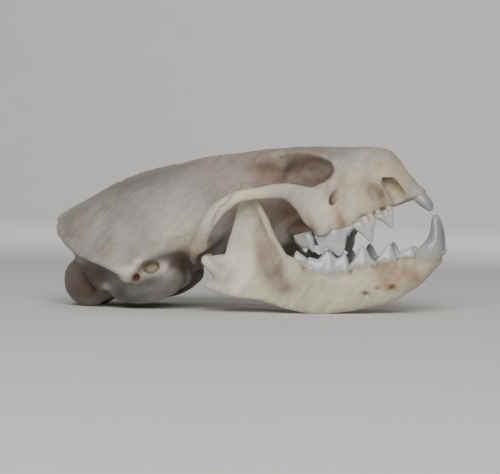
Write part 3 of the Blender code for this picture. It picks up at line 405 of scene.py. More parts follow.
JAW_NOTCH_RIM = (
    (-5.0, 14.8, 9.2, 0.70, 0.60),
    (-3.8, 14.4, 9.3, 0.85, 0.60),
    (-2.2, 14.1, 9.3, 1.10, 0.60),
)
JAW_ANGLE = (
    (-5.65, 15.7, 5.0, 0.50, 0.45),
    (-4.9, 15.5, 4.75, 0.75, 0.62),
    (-3.0, 15.0, 4.2, 1.10, 0.82),
    (0.5, 14.2, 3.6, 1.10, 0.80),
)
SYMPHYSIS = (
    (23.4, 4.4, 3.6, 0.7, 0.8),
    (25.6, 3.0, 4.4, 1.1, 1.4),
    (28.2, 2.2, 5.7, 1.5, 1.9),
    (30.8, 1.6, 7.2, 1.6, 1.7),
    (32.8, 1.1, 8.8, 1.2, 1.25),
    (34.0, 0.9, 9.7, 0.7, 0.9),
)
MASSETER_HOLLOW = (6.0, 16.6, 8.8, 8.0, 3.4, 3.1, -64.0)
# How far the upright part of the jaw leans in for each step ahead
RAMUS_SLANT = -0.24
JAW_HOLES = (
    (22.0, 9.6, 3.7, 0.55, 1.0, 0.42, 0.0),
    (24.2, 9.1, 4.6, 0.50, 0.9, 0.40, 20.0),
    (26.6, 8.2, 4.8, 0.60, 1.0, 0.50, 20.0),
    (4.6, 11.5, 6.6, 1.0, 0.9, 0.6, 20.0),
)

# Rings along the forms, and sides round them, before they are joined
RINGS = 44
SIDES = 44
JAW_RINGS = 60
ARCH_RINGS = 72
ARCH_SIDES = 28
SWELLING_RINGS = 16
HOLE_RINGS = 18
SOCKET_RINGS = 20
WIRE_SIDES = 8
# Rings and sides of the teeth's forms
CROWN_MESH = (40, 26)
CUSP_MESH = (22, 20)
ROOT_MESH = (16, 18)
SPIRE_MESH = (36, 24)
# Columns and lines of the scrolls' and the card's grids
TURBINATE_MESH = (20, 14)
CARD_MESH = (24, 72)
# How far along its path a bar's direction is measured, in rows
TANGENT_STEP = 0.05

# Evening out the joined forms: mesh sizes in millimetres, smoothing and crease filling steps
CRANIUM_VOXEL = 0.30
CRANIUM_SMOOTHING = 5
CRANIUM_CREASE_STEPS = 30
BULLA_SMOOTHING = 2
BULLA_CREASE_STEPS = 14
JAW_VOXEL = 0.24
JAW_SMOOTHING = 4
JAW_CREASE_STEPS = 22
# The jaw's last mesh is this much finer than the skull's, and smoothed this much more
JAW_FINER = 0.8
JAW_SMOOTHER = 2
TOOTH_VOXEL = 0.085
TOOTH_SMOOTHING = 3
TOOTH_CREASE_STEPS = 9
# Shares of the way to the neighbours' middle: out of a crease, along the surface, and for hollows
CREASE_STRENGTH = 0.5
CREASE_SLIDE = 0.2
HOLLOW_STEP = 0.6

# Triangles kept, and the share of a tooth's that is kept
CRANIUM_TRIANGLES = 188000
JAW_TRIANGLES = 84000
TOOTH_KEPT = 0.55

# Unevenness of the bone: wavelengths, height of the fine waves in shares of the broad ones, how
# many waves are added up, the spread of their lengths, and a factor that keeps the sum near 1
BROAD_WAVE = 5.0
FINE_WAVE = 1.7
FINE_SHARE = 0.4
WAVES_ADDED = 12
WAVE_SPREAD = (0.7, 1.5)
WAVE_HEIGHT = 0.7
CRANIUM_WAVE_SEEDS = (11, 12)
JAW_WAVE_SEEDS = (31, 32)

# Notches in the sagittal crest: depth, wavelength, seed, middle and reach along the skull, half
# width of the crest's edge and the level above which it lies
CREST_NOTCH_DEPTH = 0.15
CREST_NOTCH_WAVE = 1.5
CREST_NOTCH_SEED = 13
CREST_MIDDLE = -11.0
CREST_REACH = 6.5
CREST_EDGE = 0.7
CREST_LEVEL = 10.0

# Studio, in metres
LOOK_AT = Vector((0.0, 0.0, 0.013))
SENSOR_WIDTH = 36.0
PICTURE_WIDTH = 500
PIXELS_PER_METRE = 5500.0
KEY_AZIMUTH = radians(8.0)
KEY_ELEVATION = radians(30.0)
TOP_AZIMUTH = radians(150.0)
TOP_ELEVATION = radians(70.0)
KEY_AWAY = 0.9
KEY_SIZE = 0.75
TOP_AWAY = 0.8
TOP_SIZE = 0.7
WALL_LIGHT_PLACE = Vector((0.0, 0.3, 0.75))
WALL_LIGHT_TILT = radians(8.0)
WALL_LIGHT_SIZE = 1.0
NEAR_CLIP = 0.02
FAR_CLIP = 20.0
LIGHT_COLOUR = (1.0, 0.985, 0.96)
FILL_COLOUR = (0.93, 0.96, 1.0)
CARD_FRONT = -1.5
CARD_BACK = 0.8
CARD_BEND = 0.6
CARD_LENGTH = 4.4
CARD_HALF_WIDTH = 2.2

# Small holes in the skull, as oval forms cut out on both sides
SKULL_HOLES = (
    (7.2, 5.9, 1.4, 0.9, 1.9, 0.75, 20.0),
    (9.7, 5.6, 3.4, 0.5, 1.8, 0.45, 0.0),
    (13.4, 5.6, 1.3, 0.75, 1.5, 0.42, -12.0),
    (24.6, 7.9, 7.3, 0.8, 0.6, 0.5, 30.0),
    (34.3, 1.3, -0.9, 1.2, 0.5, 0.9, 0.0),
    (-1.9, 5.7, -1.4, 0.8, 0.6, 0.8, 0.0),
    (-18.6, 6.6, -2.4, 1.1, 0.8, 0.9, 0.0),
    (-20.9, 6.0, -2.5, 0.45, 0.45, 0.7, 0.0),
    (19.6, 3.6, -0.9, 0.5, 0.4, 0.6, 0.0),
)
# Deeper middle of the empty canine socket
SOCKET_CORE = (
    (35.4, 6.0, -1.6, 1.25, 1.1),
    (35.0, 5.7, 0.8, 1.3, 1.25),
    (34.3, 5.5, 3.0, 1.15, 1.15),
    (33.0, 5.3, 5.2, 0.7, 0.7),
)

# Deepest part of the orbit, which gives its front a crisp edge
ORBIT_CORE = (21.0, 8.0, 9.8, 4.5, 3.2, 2.9, -14.0)
# Shallow hollow in the muzzle's side behind the canine socket
MUZZLE_HOLLOW = (31.3, 10.2, 2.7, 2.3, 3.35, 3.3, 15.0)

# Sutures seen from the side (ahead, up), and from above and below (ahead, out)
JUGAL_SUTURES = (
    ((10.4, 9.5), (8.4, 9.15), (7.0, 8.1), (5.4, 7.2), (4.2, 6.0), (3.3, 4.6), (4.2, 4.2)),
)
TOP_SUTURES = (
    ((36.6, 1.9), (33.5, 2.3), (30.0, 2.5), (26.5, 2.2), (23.8, 1.5), (22.2, 0.4)),
    ((36.6, 0.05), (33.0, 0.05), (29.0, -0.04), (25.5, 0.05), (22.4, 0.0)),
)
BASE_SUTURES = (
    ((-8.6, 4.0), (-8.9, 2.0), (-8.7, 0.0), (-8.9, -2.0), (-8.6, -4.0)),
    ((25.6, -6.0), (24.4, -3.0), (23.8, 0.0), (24.4, 3.0), (25.6, 6.0)),
    ((38.2, 0.0), (34.0, 0.05), (29.0, -0.05), (24.0, 0.05), (18.6, 0.0)),
)
SUTURE_HALF_WIDTH = 0.075
JUGAL_SUTURE_HALF_WIDTH = 0.19
SUTURE_STEP = 0.35
# A wire stops where two of its points lie this many steps apart, and thins at its ends
SUTURE_BREAK = 4.0
WIRE_END_SHARE = 0.3
WIRE_LEAST_POINTS = 4
# Sutures that start nearer to the midline than this lie on it, and have no mirror image
ON_MIDLINE = 0.2
# Rays that find the bone start this far out, above and below
FAR_OUT = 30.0
FAR_UP = 30.0
FAR_DOWN = -20.0
# First seeds of the random draws; number and side are added
JUGAL_SUTURE_SEED = 20
TOP_SUTURE_SEED = 40
BASE_SUTURE_SEED = 60
CRACK_SEED = 80
FLECK_SEED = 90
# Fine cracks in the jaw's sides: ahead, up
JAW_CRACKS = (
    ((8.7, 3.0), (8.9, 2.2), (8.75, 1.3), (9.0, 0.5)),
    ((17.9, 1.4), (18.0, 0.8), (17.9, 0.2)),
    ((30.6, 6.4), (30.9, 5.2), (31.4, 4.4)),
)
CRACK_HALF_WIDTH = 0.07

# Swellings over the roots of the teeth: ahead, out, up, half length, half width, half height, tilt
UPPER_ROOT_SWELLINGS = (
    (32.7, 6.6, 0.9, 0.75, 0.75, 1.5, 0.0),
    (30.6, 6.9, 0.9, 0.65, 0.7, 1.4, 0.0),
    (29.1, 7.35, 0.5, 0.85, 0.8, 1.7, 0.0),
    (26.7, 8.1, 0.3, 0.85, 0.75, 1.5, 0.0),
    (24.3, 8.9, -0.4, 1.1, 0.85, 1.5, 0.0),
    (20.3, 10.0, -0.4, 1.1, 0.85, 1.4, 0.0),
)
LOWER_ROOT_SWELLINGS = (
    (27.8, 5.3, 9.0, 0.6, 1.9, 1.1, 0.0),
    (29.6, 4.9, 9.0, 0.6, 1.9, 1.1, 0.0),
    (24.35, 6.5, 8.3, 0.7, 1.75, 1.2, 0.0),
    (26.3, 6.0, 8.5, 0.7, 1.8, 1.2, 0.0),
    (19.95, 7.85, 7.3, 0.8, 1.75, 1.3, 0.0),
    (22.55, 7.25, 7.9, 0.8, 1.75, 1.3, 0.0),
    (12.7, 9.7, 6.0, 1.1, 1.8, 1.3, 0.0),
    (17.0, 8.7, 5.8, 1.4, 1.8, 1.3, 0.0),
)
# Thin scrolls inside the nasal opening: out, half height, depth of the wave
TURBINATES = ((0.0, 2.4, 0.05), (0.85, 1.9, 0.22), (1.6, 1.5, 0.26))
TURBINATE_FRONT = 35.4
TURBINATE_REAR = 31.0
TURBINATE_LEVEL = 5.3
TURBINATE_THICKNESS = 0.22
# How far a scroll's rim bows back, and its waves up and along
TURBINATE_BOW = 0.5
TURBINATE_WAVES_UP = 3.0
TURBINATE_WAVES_ALONG = 2.2

# Crowns of the cheek teeth. Each has its gum level, the level its crown's underside ends at,
# out at the rear and at the front, half width, then the biting edge's level at stations ahead
UPPER_CROWNS = {
    "second_premolar": (
        -1.5, -0.75, 7.0, 6.8, 0.64,
        ((29.95, -1.45), (30.4, -2.0), (31.2, -2.7), (31.8, -3.8), (32.2, -4.1), (32.7, -3.5),
         (33.15, -2.1), (33.35, -1.4)),
    ),
    "third_premolar": (
        -1.9, -1.1, 8.2, 7.4, 0.74,
        ((25.65, -1.8), (26.2, -2.7), (27.1, -4.0), (27.9, -5.3), (28.35, -5.65), (28.8, -4.7),
         (29.4, -3.0), (30.0, -1.9)),
    ),
    "carnassial": (
        -2.1, 1.0, 10.2, 8.5, 0.76,
        ((19.1, -2.3), (19.25, -3.6), (19.5, -4.8), (20.3, -4.15), (21.0, -4.8), (22.1, -6.25),
         (22.9, -5.9), (23.7, -4.9), (24.4, -3.3), (25.2, -2.8), (26.0, -2.2)),
    ),
    "molar": (
        -1.7, -0.5, 9.4, 9.8, 1.05,
        ((15.4, -1.6), (15.8, -2.6), (16.6, -3.3), (17.3, -3.5), (18.1, -4.4), (18.7, -3.0)),
    ),
}
LOWER_CROWNS = {
    "second_premolar": (
        10.3, 9.7, 5.5, 4.6, 0.60,
        ((27.0, 10.3), (27.9, 11.0), (28.9, 11.6), (29.7, 11.95), (30.15, 11.4), (30.4, 10.5)),
    ),
    "third_premolar": (
        9.5, 8.7, 6.7, 5.8, 0.70,
        ((23.55, 9.6), (24.1, 10.3), (24.9, 11.6), (25.6, 12.55), (26.1, 12.3), (26.7, 10.9),
         (27.15, 9.9)),
    ),
    "fourth_premolar": (
        8.5, 7.3, 8.1, 6.9, 0.78,
        ((18.95, 8.8), (19.5, 9.4), (20.3, 10.9), (21.1, 12.1), (21.7, 11.8), (22.4, 10.4),
         (23.0, 9.6), (23.5, 9.3), (23.75, 8.9)),
    ),
    "carnassial": (
        7.6, 5.4, 9.6, 8.0, 0.84,
        ((11.25, 8.5), (11.6, 9.55), (12.6, 9.8), (13.5, 9.65), (14.3, 10.6), (15.1, 11.35),
         (15.8, 11.0), (16.75, 9.95), (17.4, 10.5), (18.0, 10.85), (18.6, 9.9), (19.0, 8.4)),
    ),
    "second_molar": (
        9.3, 7.4, 9.9, 9.6, 0.80,
        ((9.15, 9.9), (9.6, 10.95), (10.2, 10.7), (11.0, 10.2), (11.7, 9.7)),
    ),
}

# Cones that swell out the main cusps: ahead, out, tip level, half length and half width at the gum
UPPER_CONES = {
    "second_premolar": ((31.95, 6.9, -3.95, 0.95, 0.85),),
    "third_premolar": ((28.15, 7.75, -5.45, 1.15, 1.00),),
    "carnassial": (
        (22.1, 9.35, -6.05, 1.65, 1.25),
        (20.1, 9.95, -4.45, 0.95, 1.00),
        (25.1, 8.65, -2.85, 0.70, 0.85),
        (24.5, 7.30, -3.40, 0.95, 0.95),
    ),
    "molar": (
        (17.9, 9.9, -4.35, 0.95, 1.05),
        (16.3, 9.6, -3.30, 0.90, 0.95),
        (16.9, 5.9, -3.30, 1.55, 1.35),
        (17.6, 7.2, -3.10, 0.90, 1.10),
    ),
}
LOWER_CONES = {
    "second_premolar": ((29.45, 4.9, 11.85, 0.80, 0.75),),
    "third_premolar": ((25.6, 6.2, 12.4, 0.95, 0.90),),
    "fourth_premolar": ((21.15, 7.55, 12.0, 1.05, 1.00), (22.95, 7.1, 9.75, 0.55, 0.7)),
    "carnassial": (
        (15.1, 8.85, 11.25, 1.55, 1.20),
        (18.0, 8.25, 10.75, 1.10, 1.05),
        (12.1, 9.40, 9.75, 1.00, 1.15),
    ),
    "second_molar": ((9.9, 9.85, 10.85, 0.85, 0.85),),
}

# Roots: ahead, out, level in the crown, level in the bone, half length, half width
UPPER_ROOTS = {
    "second_premolar": ((30.65, 7.0, -1.7, 1.8, 0.55, 0.55), (32.65, 6.8, -1.7, 1.8, 0.62, 0.58)),
    "third_premolar": ((26.7, 8.0, -2.4, 1.8, 0.72, 0.66), (29.15, 7.6, -2.4, 1.8, 0.72, 0.66)),
    "carnassial": ((20.2, 9.9, -2.4, 1.4, 0.95, 0.8), (24.3, 8.9, -2.4, 1.4, 0.95, 0.8)),
    "molar": ((16.9, 9.0, -1.8, 0.3, 1.0, 0.7), (16.9, 6.2, -1.8, 0.8, 1.2, 1.0)),
}
LOWER_ROOTS = {
    "second_premolar": ((27.8, 5.25, 10.6, 7.6, 0.50, 0.50), (29.6, 4.85, 10.6, 7.6, 0.52, 0.50)),
    "third_premolar": ((24.35, 6.45, 10.0, 6.8, 0.60, 0.58), (26.3, 6.0, 10.0, 6.8, 0.62, 0.58)),
    "fourth_premolar": ((19.95, 7.8, 9.2, 5.8, 0.72, 0.66), (22.55, 7.2, 9.2, 5.8, 0.72, 0.66)),
    "carnassial": ((12.7, 9.3, 8.0, 5.0, 1.0, 0.8), (17.0, 8.4, 8.0, 5.0, 1.25, 0.9)),
    "second_molar": ((10.2, 9.85, 9.6, 7.2, 0.8, 0.6),),
}

# Front teeth, from root to tip: level, front, rear, out, half width
UPPER_SPIRES = {
    "third_incisor": (
        (1.9, 38.3, 36.6, 2.6, 0.75),
        (0.8, 39.05, 36.8, 2.8, 1.00),
        (-0.3, 39.6, 37.1, 3.0, 1.08),
        (-1.0, 39.85, 37.55, 3.15, 1.00),
        (-1.8, 39.95, 38.1, 3.25, 0.82),
        (-2.5, 39.8, 38.75, 3.3, 0.52),
        (-2.95, 39.45, 39.1, 3.3, 0.16),
    ),
    "second_incisor": (
        (1.2, 39.0, 38.2, 1.7, 0.32),
        (0.2, 39.4, 38.3, 1.75, 0.42),
        (-0.8, 39.75, 38.7, 1.85, 0.46),
        (-1.6, 39.85, 39.1, 1.9, 0.42),
        (-2.15, 39.75, 39.45, 1.9, 0.24),
    ),
    "first_incisor": (
        (1.0, 39.1, 38.3, 0.62, 0.26),
        (0.0, 39.5, 38.5, 0.66, 0.34),
        (-0.9, 39.8, 38.85, 0.70, 0.40),
        (-1.6, 39.85, 39.2, 0.72, 0.38),
        (-2.05, 39.75, 39.5, 0.72, 0.24),
    ),
}
LOWER_SPIRES = {
    "canine": (
        (6.2, 31.8, 29.8, 3.1, 0.90),
        (8.2, 33.2, 29.9, 3.5, 1.25),
        (9.8, 34.5, 30.0, 3.85, 1.55),
        (11.1, 35.1, 30.25, 4.1, 1.66),
        (12.1, 35.3, 31.1, 4.2, 1.52),
        (13.1, 35.2, 32.15, 4.3, 1.28),
        (14.3, 35.05, 32.7, 4.35, 1.08),
        (15.7, 34.7, 32.95, 4.4, 0.84),
        (16.8, 34.3, 33.08, 4.42, 0.58),
        (17.4, 33.98, 33.2, 4.42, 0.36),
        (17.72, 33.7, 33.42, 4.42, 0.12),
    ),
    "third_incisor": (
        (8.8, 33.6, 32.9, 2.35, 0.36),
        (9.8, 34.6, 33.4, 2.4, 0.46),
        (10.6, 35.3, 34.1, 2.5, 0.50),
        (11.3, 35.62, 34.9, 2.55, 0.36),
        (11.6, 35.55, 35.2, 2.55, 0.14),
    ),
    "second_incisor": (
        (8.8, 33.6, 32.8, 1.5, 0.30),
        (9.8, 34.4, 33.4, 1.5, 0.38),
        (10.6, 35.0, 34.0, 1.52, 0.38),
        (11.2, 35.25, 34.8, 1.52, 0.22),
    ),
    "first_incisor": (
        (8.8, 33.9, 33.1, 0.66, 0.24),
        (9.8, 34.7, 33.7, 0.66, 0.32),
        (10.6, 35.2, 34.3, 0.66, 0.34),
        (11.15, 35.4, 35.0, 0.66, 0.20),
    ),
}
# Molar table behind the upper carnassial: ahead, out, up, half length, half width, half height, tilt
MOLAR_TABLE = (
    (16.9, 5.9, -1.7, 1.75, 1.55, 1.1, 0.0),
    (17.0, 8.0, -1.7, 1.15, 1.9, 1.1, 0.0),
)
# The left side of this skull has lost its second and third upper premolars
LOST_LEFT = ("second_premolar", "third_premolar")
# Its root swellings over them, the first ones of the table, are missing too
LOST_SWELLINGS = 4
EMPTY_SOCKET_UP = -0.4
EMPTY_SOCKET_DEPTH = 1.9

# Section of a crown: where its belly lies between gum and edge, how narrow its ends are, how
# abruptly they round off, and how square it is above and below the belly
BELLY_SHARE = 0.14
CROWN_END_WIDTH = 0.38
CROWN_END_POWER = 3.2
CROWN_SQUARE_ABOVE = 1.45
CROWN_SQUARE_BELOW = 2.2
# Outline of a cusp from inside the crown to its tip, and of a root from the crown into the bone:
# share of the height, share of the full size
CUSP_OUTLINE = (
    (-0.35, 0.72), (-0.12, 0.95), (0.06, 1.0), (0.3, 0.84), (0.6, 0.52), (0.85, 0.24), (1.0, 0.07),
)
CUSP_LEAN = 0.12
ROOT_OUTLINE = ((0.0, 0.8), (0.2, 1.05), (0.45, 1.0), (0.8, 0.8), (1.0, 0.45))
ROOT_LEAN = 1.2

# Bone colours, and soft patches of them, part of them painted shade, shadow or highlight: colour,
# place, reach, strength
BRAINCASE_TONE = (0.350, 0.334, 0.314)
CREST_TONE = (0.46, 0.435, 0.42)
MUZZLE_TONE = (0.60, 0.54, 0.405)
# Brown of the orbit, partly painted shade of its hollow, and also painted shade in other hollows
ORBIT_TONE_AND_SHADE = (0.145, 0.086, 0.064)
# Brown-violet of the temples, also used as painted shade beside the canine bulge, round the jaw
# joint and along the jaw's coronoid ridge
TEMPLE_TONE_AND_SHADE = (0.300, 0.215, 0.172)
# Painted shade on the skull's underside and rear, round the condyles and under the crests, over a
# somewhat browner bone
UNDERSIDE_SHADE_TONE = (0.080, 0.061, 0.051)
# Painted shade round the jaw joint, under the root of the arch
FOSSA_SHADE_TONE = (0.160, 0.112, 0.090)
SOCKET_TONE = (0.50, 0.41, 0.275)
CHEEK_TONE = (0.78, 0.71, 0.56)
SCAR_TONE = (0.35, 0.235, 0.135)
TAN_TONE = (0.42, 0.33, 0.205)
# Brown of the stains and flecks, also used as painted shade inside openings and canals
STAIN_AND_SHADE_TONE = (0.25, 0.145, 0.080)
JAW_TONE = (0.53, 0.515, 0.405)
# Painted shade in hollows and creases, and in patches at the condyle and under the paroccipital
CREVICE_SHADE_TONE = (0.12, 0.075, 0.048)
ENAMEL_TONE = (0.47, 0.495, 0.51)
NECK_TONE = (0.42, 0.355, 0.25)
# Grey-green of the ear capsules, darkened further as painted shade
BULLA_TONE_AND_SHADE = (0.092, 0.094, 0.081)
BAND_TONE = (0.052, 0.050, 0.041)
# Painted shadow on the condyle and under the overhang of the nuchal crest
DEEP_SHADOW_TONE = (0.022, 0.013, 0.010)
# Painted shade in the jaw's masseter hollow and in the hollow behind the canine socket
HOLLOW_SHADE_TONE = (0.19, 0.142, 0.102)
BULLA_SHEEN_TONE = (0.19, 0.203, 0.178)
RAMUS_TONE = (0.77, 0.755, 0.62)
# Painted shade on the lower canine and the upper third incisor
ENAMEL_SHADE_TONE = (0.225, 0.240, 0.250)
COOL_TONE = (0.46, 0.46, 0.42)
SHADED_TONE = (0.225, 0.212, 0.200)
SKULL_PATCHES = (
    (MUZZLE_TONE, (30.0, 6.0, 4.0), (9.0, 9.0, 9.0), 1.0),
    (CHEEK_TONE, (22.0, 11.0, 2.0), (4.6, 4.0, 4.2), 0.9),
    (CHEEK_TONE, (8.0, 18.0, 7.0), (12.0, 3.0, 5.0), 0.85),
    (CREST_TONE, (-25.6, 7.0, 11.0), (2.4, 8.0, 4.0), 0.9),
    (CREST_TONE, (-18.5, 15.5, 3.2), (4.0, 2.2, 2.6), 0.8),
    # Painted highlight on the low side wall of the braincase behind the arch
    (JAW_TONE, (-3.2, 13.6, 5.4), (3.0, 4.0, 3.6), 0.8),
    (TEMPLE_TONE_AND_SHADE, (-22.5, 9.5, 11.0), (3.6, 6.0, 3.6), 0.45),
    (TEMPLE_TONE_AND_SHADE, (-18.0, 12.0, 5.0), (3.4, 6.0, 2.6), 0.35),
    (TEMPLE_TONE_AND_SHADE, (-8.0, 5.0, 16.8), (12.0, 4.4, 2.6), 0.55),
    (TEMPLE_TONE_AND_SHADE, (12.6, 5.5, 11.6), (5.2, 4.0, 5.6), 1.0),
    (TEMPLE_TONE_AND_SHADE, (5.0, 8.0, 12.5), (4.0, 4.0, 4.0), 0.45),
    (TEMPLE_TONE_AND_SHADE, (7.0, 7.0, 5.0), (5.0, 3.5, 4.0), 0.7),
    (ORBIT_TONE_AND_SHADE, (20.6, 6.0, 9.6), (5.6, 4.0, 4.4), 1.0),
    (ORBIT_TONE_AND_SHADE, (16.0, 5.4, 4.0), (6.0, 2.6, 4.2), 1.0),
    (ORBIT_TONE_AND_SHADE, (23.4, 6.8, 7.6), (2.6, 2.2, 3.0), 0.9),
    (ORBIT_TONE_AND_SHADE, (17.4, 9.0, 0.4), (2.8, 3.2, 2.2), 1.0),
    (MUZZLE_TONE, (16.6, 7.2, 13.4), (1.2, 1.4, 1.6), 0.9),
    (SHADED_TONE, (-9.0, 6.0, 17.4), (15.0, 6.0, 3.6), 0.7),
    (UNDERSIDE_SHADE_TONE, (-19.8, 11.5, 2.0), (3.2, 4.0, 2.2), 0.95),
    (MUZZLE_TONE, (25.8, 8.0, 8.4), (1.1, 1.4, 2.4), 0.7),
    (TEMPLE_TONE_AND_SHADE, (29.6, 6.5, 5.2), (2.4, 2.0, 2.4), 0.5),
    (TEMPLE_TONE_AND_SHADE, (24.6, 4.6, 12.4), (3.4, 3.4, 1.2), 0.5),
    (TEMPLE_TONE_AND_SHADE, (31.4, 7.4, 2.2), (2.1, 3.0, 2.4), 0.85),
    (HOLLOW_SHADE_TONE, (32.2, 7.4, 1.8), (1.3, 3.0, 2.2), 0.5),
    (TEMPLE_TONE_AND_SHADE, (30.2, 7.6, 4.6), (1.7, 3.0, 2.2), 0.6),
    (TEMPLE_TONE_AND_SHADE, (0.0, 12.5, 1.4), (3.0, 6.0, 1.0), 0.8),
    (TEMPLE_TONE_AND_SHADE, (3.2, 15.0, 3.0), (3.0, 3.0, 1.6), 0.5),
    (BULLA_TONE_AND_SHADE, (-12.0, 10.0, -2.4), (9.0, 6.0, 2.6), 0.95),
    (CREST_TONE, (-8.2, 13.4, 0.7), (0.9, 1.4, 0.9), 0.9),
    (BAND_TONE, (-15.5, 12.5, -3.6), (3.0, 3.0, 0.9), 0.6),
    (BULLA_SHEEN_TONE, (-11.5, 13.0, -2.9), (4.4, 3.0, 0.75), 0.7),
    (UNDERSIDE_SHADE_TONE, (-25.0, 6.5, 1.0), (4.6, 6.0, 5.4), 1.0),
    (UNDERSIDE_SHADE_TONE, (-21.2, 10.4, 1.4), (2.4, 5.0, 2.6), 0.9),
    (FOSSA_SHADE_TONE, (-1.6, 14.4, 0.7), (2.4, 4.0, 1.2), 0.9),
    (FOSSA_SHADE_TONE, (-5.4, 13.4, 0.7), (2.6, 4.0, 1.3), 0.95),
    (TAN_TONE, (-0.8, 16.4, 2.4), (2.4, 2.4, 1.8), 0.7),
    (COOL_TONE, (29.0, 5.0, 10.0), (5.0, 4.4, 2.0), 0.85),
    (SHADED_TONE, (26.4, 5.0, 11.2), (3.0, 4.0, 1.1), 0.5),
    (UNDERSIDE_SHADE_TONE, (-21.5, 11.0, 3.4), (3.4, 3.4, 2.0), 0.95),
    (UNDERSIDE_SHADE_TONE, (-5.0, 10.0, 0.4), (3.6, 6.0, 2.4), 0.9),
    (UNDERSIDE_SHADE_TONE, (-14.0, 3.0, -3.0), (9.0, 4.0, 2.0), 0.6),
    (CREVICE_SHADE_TONE, (-23.2, 8.6, 1.2), (1.5, 2.2, 2.6), 0.95),
    (CREVICE_SHADE_TONE, (-20.6, 10.0, -1.6), (1.6, 3.0, 1.0), 0.8),
    (CREST_TONE, (-19.2, 11.4, -0.3), (0.6, 1.4, 0.8), 0.55),
    (RAMUS_TONE, (-13.2, 15.0, 1.6), (0.8, 1.4, 0.6), 0.6),
    (RAMUS_TONE, (-11.8, 14.8, 2.6), (0.9, 1.4, 0.5), 0.5),
    (SOCKET_TONE, (-10.2, 12.2, 0.9), (1.7, 1.5, 1.3), 1.0),
    (SOCKET_TONE, (34.6, 5.2, 2.4), (1.8, 1.7, 2.6), 0.9),
    (BAND_TONE, (-10.8, 13.4, -1.3), (3.2, 3.0, 0.85), 0.95),
    (BAND_TONE, (-16.4, 12.0, -1.6), (1.7, 2.6, 1.7), 0.8),
    (DEEP_SHADOW_TONE, (-22.4, 7.6, 1.3), (1.2, 5.0, 2.1), 0.9),
    (DEEP_SHADOW_TONE, (-19.6, 10.4, 2.2), (2.4, 5.0, 1.2), 0.45),
    (RAMUS_TONE, (-14.4, 14.6, 1.1), (1.4, 2.0, 1.2), 0.7),
    (COOL_TONE, (-7.4, 13.5, -0.3), (1.5, 2.4, 1.4), 0.7),
    (STAIN_AND_SHADE_TONE, (-13.0, 13.6, -0.15), (0.9, 1.6, 0.9), 1.0),
    (SCAR_TONE, (24.2, 10.2, 0.2), (1.0, 2.0, 2.3), 0.95),
    (STAIN_AND_SHADE_TONE, (24.4, 10.2, -0.9), (0.5, 2.0, 0.8), 0.5),
    # Painted shade inside the infraorbital canal, in the next two patches
    (STAIN_AND_SHADE_TONE, (23.4, 9.5, 3.5), (1.1, 1.4, 1.5), 0.9),
    (ORBIT_TONE_AND_SHADE, (23.1, 9.5, 3.4), (0.8, 1.2, 1.4), 1.0),
    (TEMPLE_TONE_AND_SHADE, (25.0, 9.8, 4.0), (1.4, 1.4, 1.4), 0.55),
    (STAIN_AND_SHADE_TONE, (19.4, 12.4, 0.6), (0.5, 1.4, 2.2), 0.5),
    (STAIN_AND_SHADE_TONE, (19.6, 11.4, -2.1), (0.5, 1.0, 0.4), 0.9),
    (STAIN_AND_SHADE_TONE, (34.0, 0.0, 5.4), (3.0, 3.0, 2.6), 0.8),
    (STAIN_AND_SHADE_TONE, (-22.0, 0.0, 2.9), (4.0, 3.2, 2.9), 0.8),
)
JAW_PATCHES = (
    (RAMUS_TONE, (-0.5, 15.0, 7.6), (5.0, 3.0, 5.4), 0.8),
    (RAMUS_TONE, (9.0, 12.5, 6.6), (1.3, 2.0, 3.6), 0.5),
    (TAN_TONE, (31.6, 5.5, 7.4), (3.4, 4.0, 2.4), 0.5),
    (STAIN_AND_SHADE_TONE, (24.0, 8.2, 8.0), (0.5, 2.0, 1.0), 0.5),
    (SCAR_TONE, (27.2, 7.8, 7.0), (4.0, 2.6, 2.4), 0.6),
    (STAIN_AND_SHADE_TONE, (28.6, 7.0, 8.0), (1.4, 2.0, 1.6), 0.55),
    (STAIN_AND_SHADE_TONE, (26.2, 8.4, 5.0), (1.3, 2.0, 0.9), 0.7),
    (STAIN_AND_SHADE_TONE, (22.1, 9.4, 3.7), (0.8, 1.2, 0.45), 0.8),
    (STAIN_AND_SHADE_TONE, (23.8, 9.2, 4.8), (0.8, 2.0, 0.6), 0.45),
    (STAIN_AND_SHADE_TONE, (19.2, 9.6, 7.6), (0.6, 1.6, 0.9), 0.75),
    (STAIN_AND_SHADE_TONE, (23.2, 8.4, 8.6), (0.5, 1.6, 0.6), 0.6),
    (STAIN_AND_SHADE_TONE, (11.3, 11.6, 8.2), (0.6, 1.6, 1.1), 0.8),
    (TEMPLE_TONE_AND_SHADE, (3.6, 14.2, 13.6), (1.2, 1.4, 4.0), 0.7),
    (TEMPLE_TONE_AND_SHADE, (4.6, 14.2, 10.0), (1.7, 2.6, 3.6), 0.95),
    (HOLLOW_SHADE_TONE, (6.4, 13.8, 7.0), (1.9, 2.6, 2.4), 0.95),
    (HOLLOW_SHADE_TONE, (8.4, 13.2, 4.6), (2.1, 2.6, 1.7), 0.9),
    (TEMPLE_TONE_AND_SHADE, (1.4, 13.8, 20.0), (2.2, 1.4, 3.0), 0.5),
    (TEMPLE_TONE_AND_SHADE, (0.9, 13.4, 22.6), (1.8, 1.6, 1.4), 0.8),
    (TEMPLE_TONE_AND_SHADE, (-2.8, 15.6, 8.2), (1.3, 2.0, 1.5), 0.5),
    (CREST_TONE, (-3.5, 15.5, 5.5), (3.0, 2.0, 3.5), 0.6),
    (TEMPLE_TONE_AND_SHADE, (12.0, 11.8, 5.0), (3.5, 2.0, 1.6), 0.3),
)
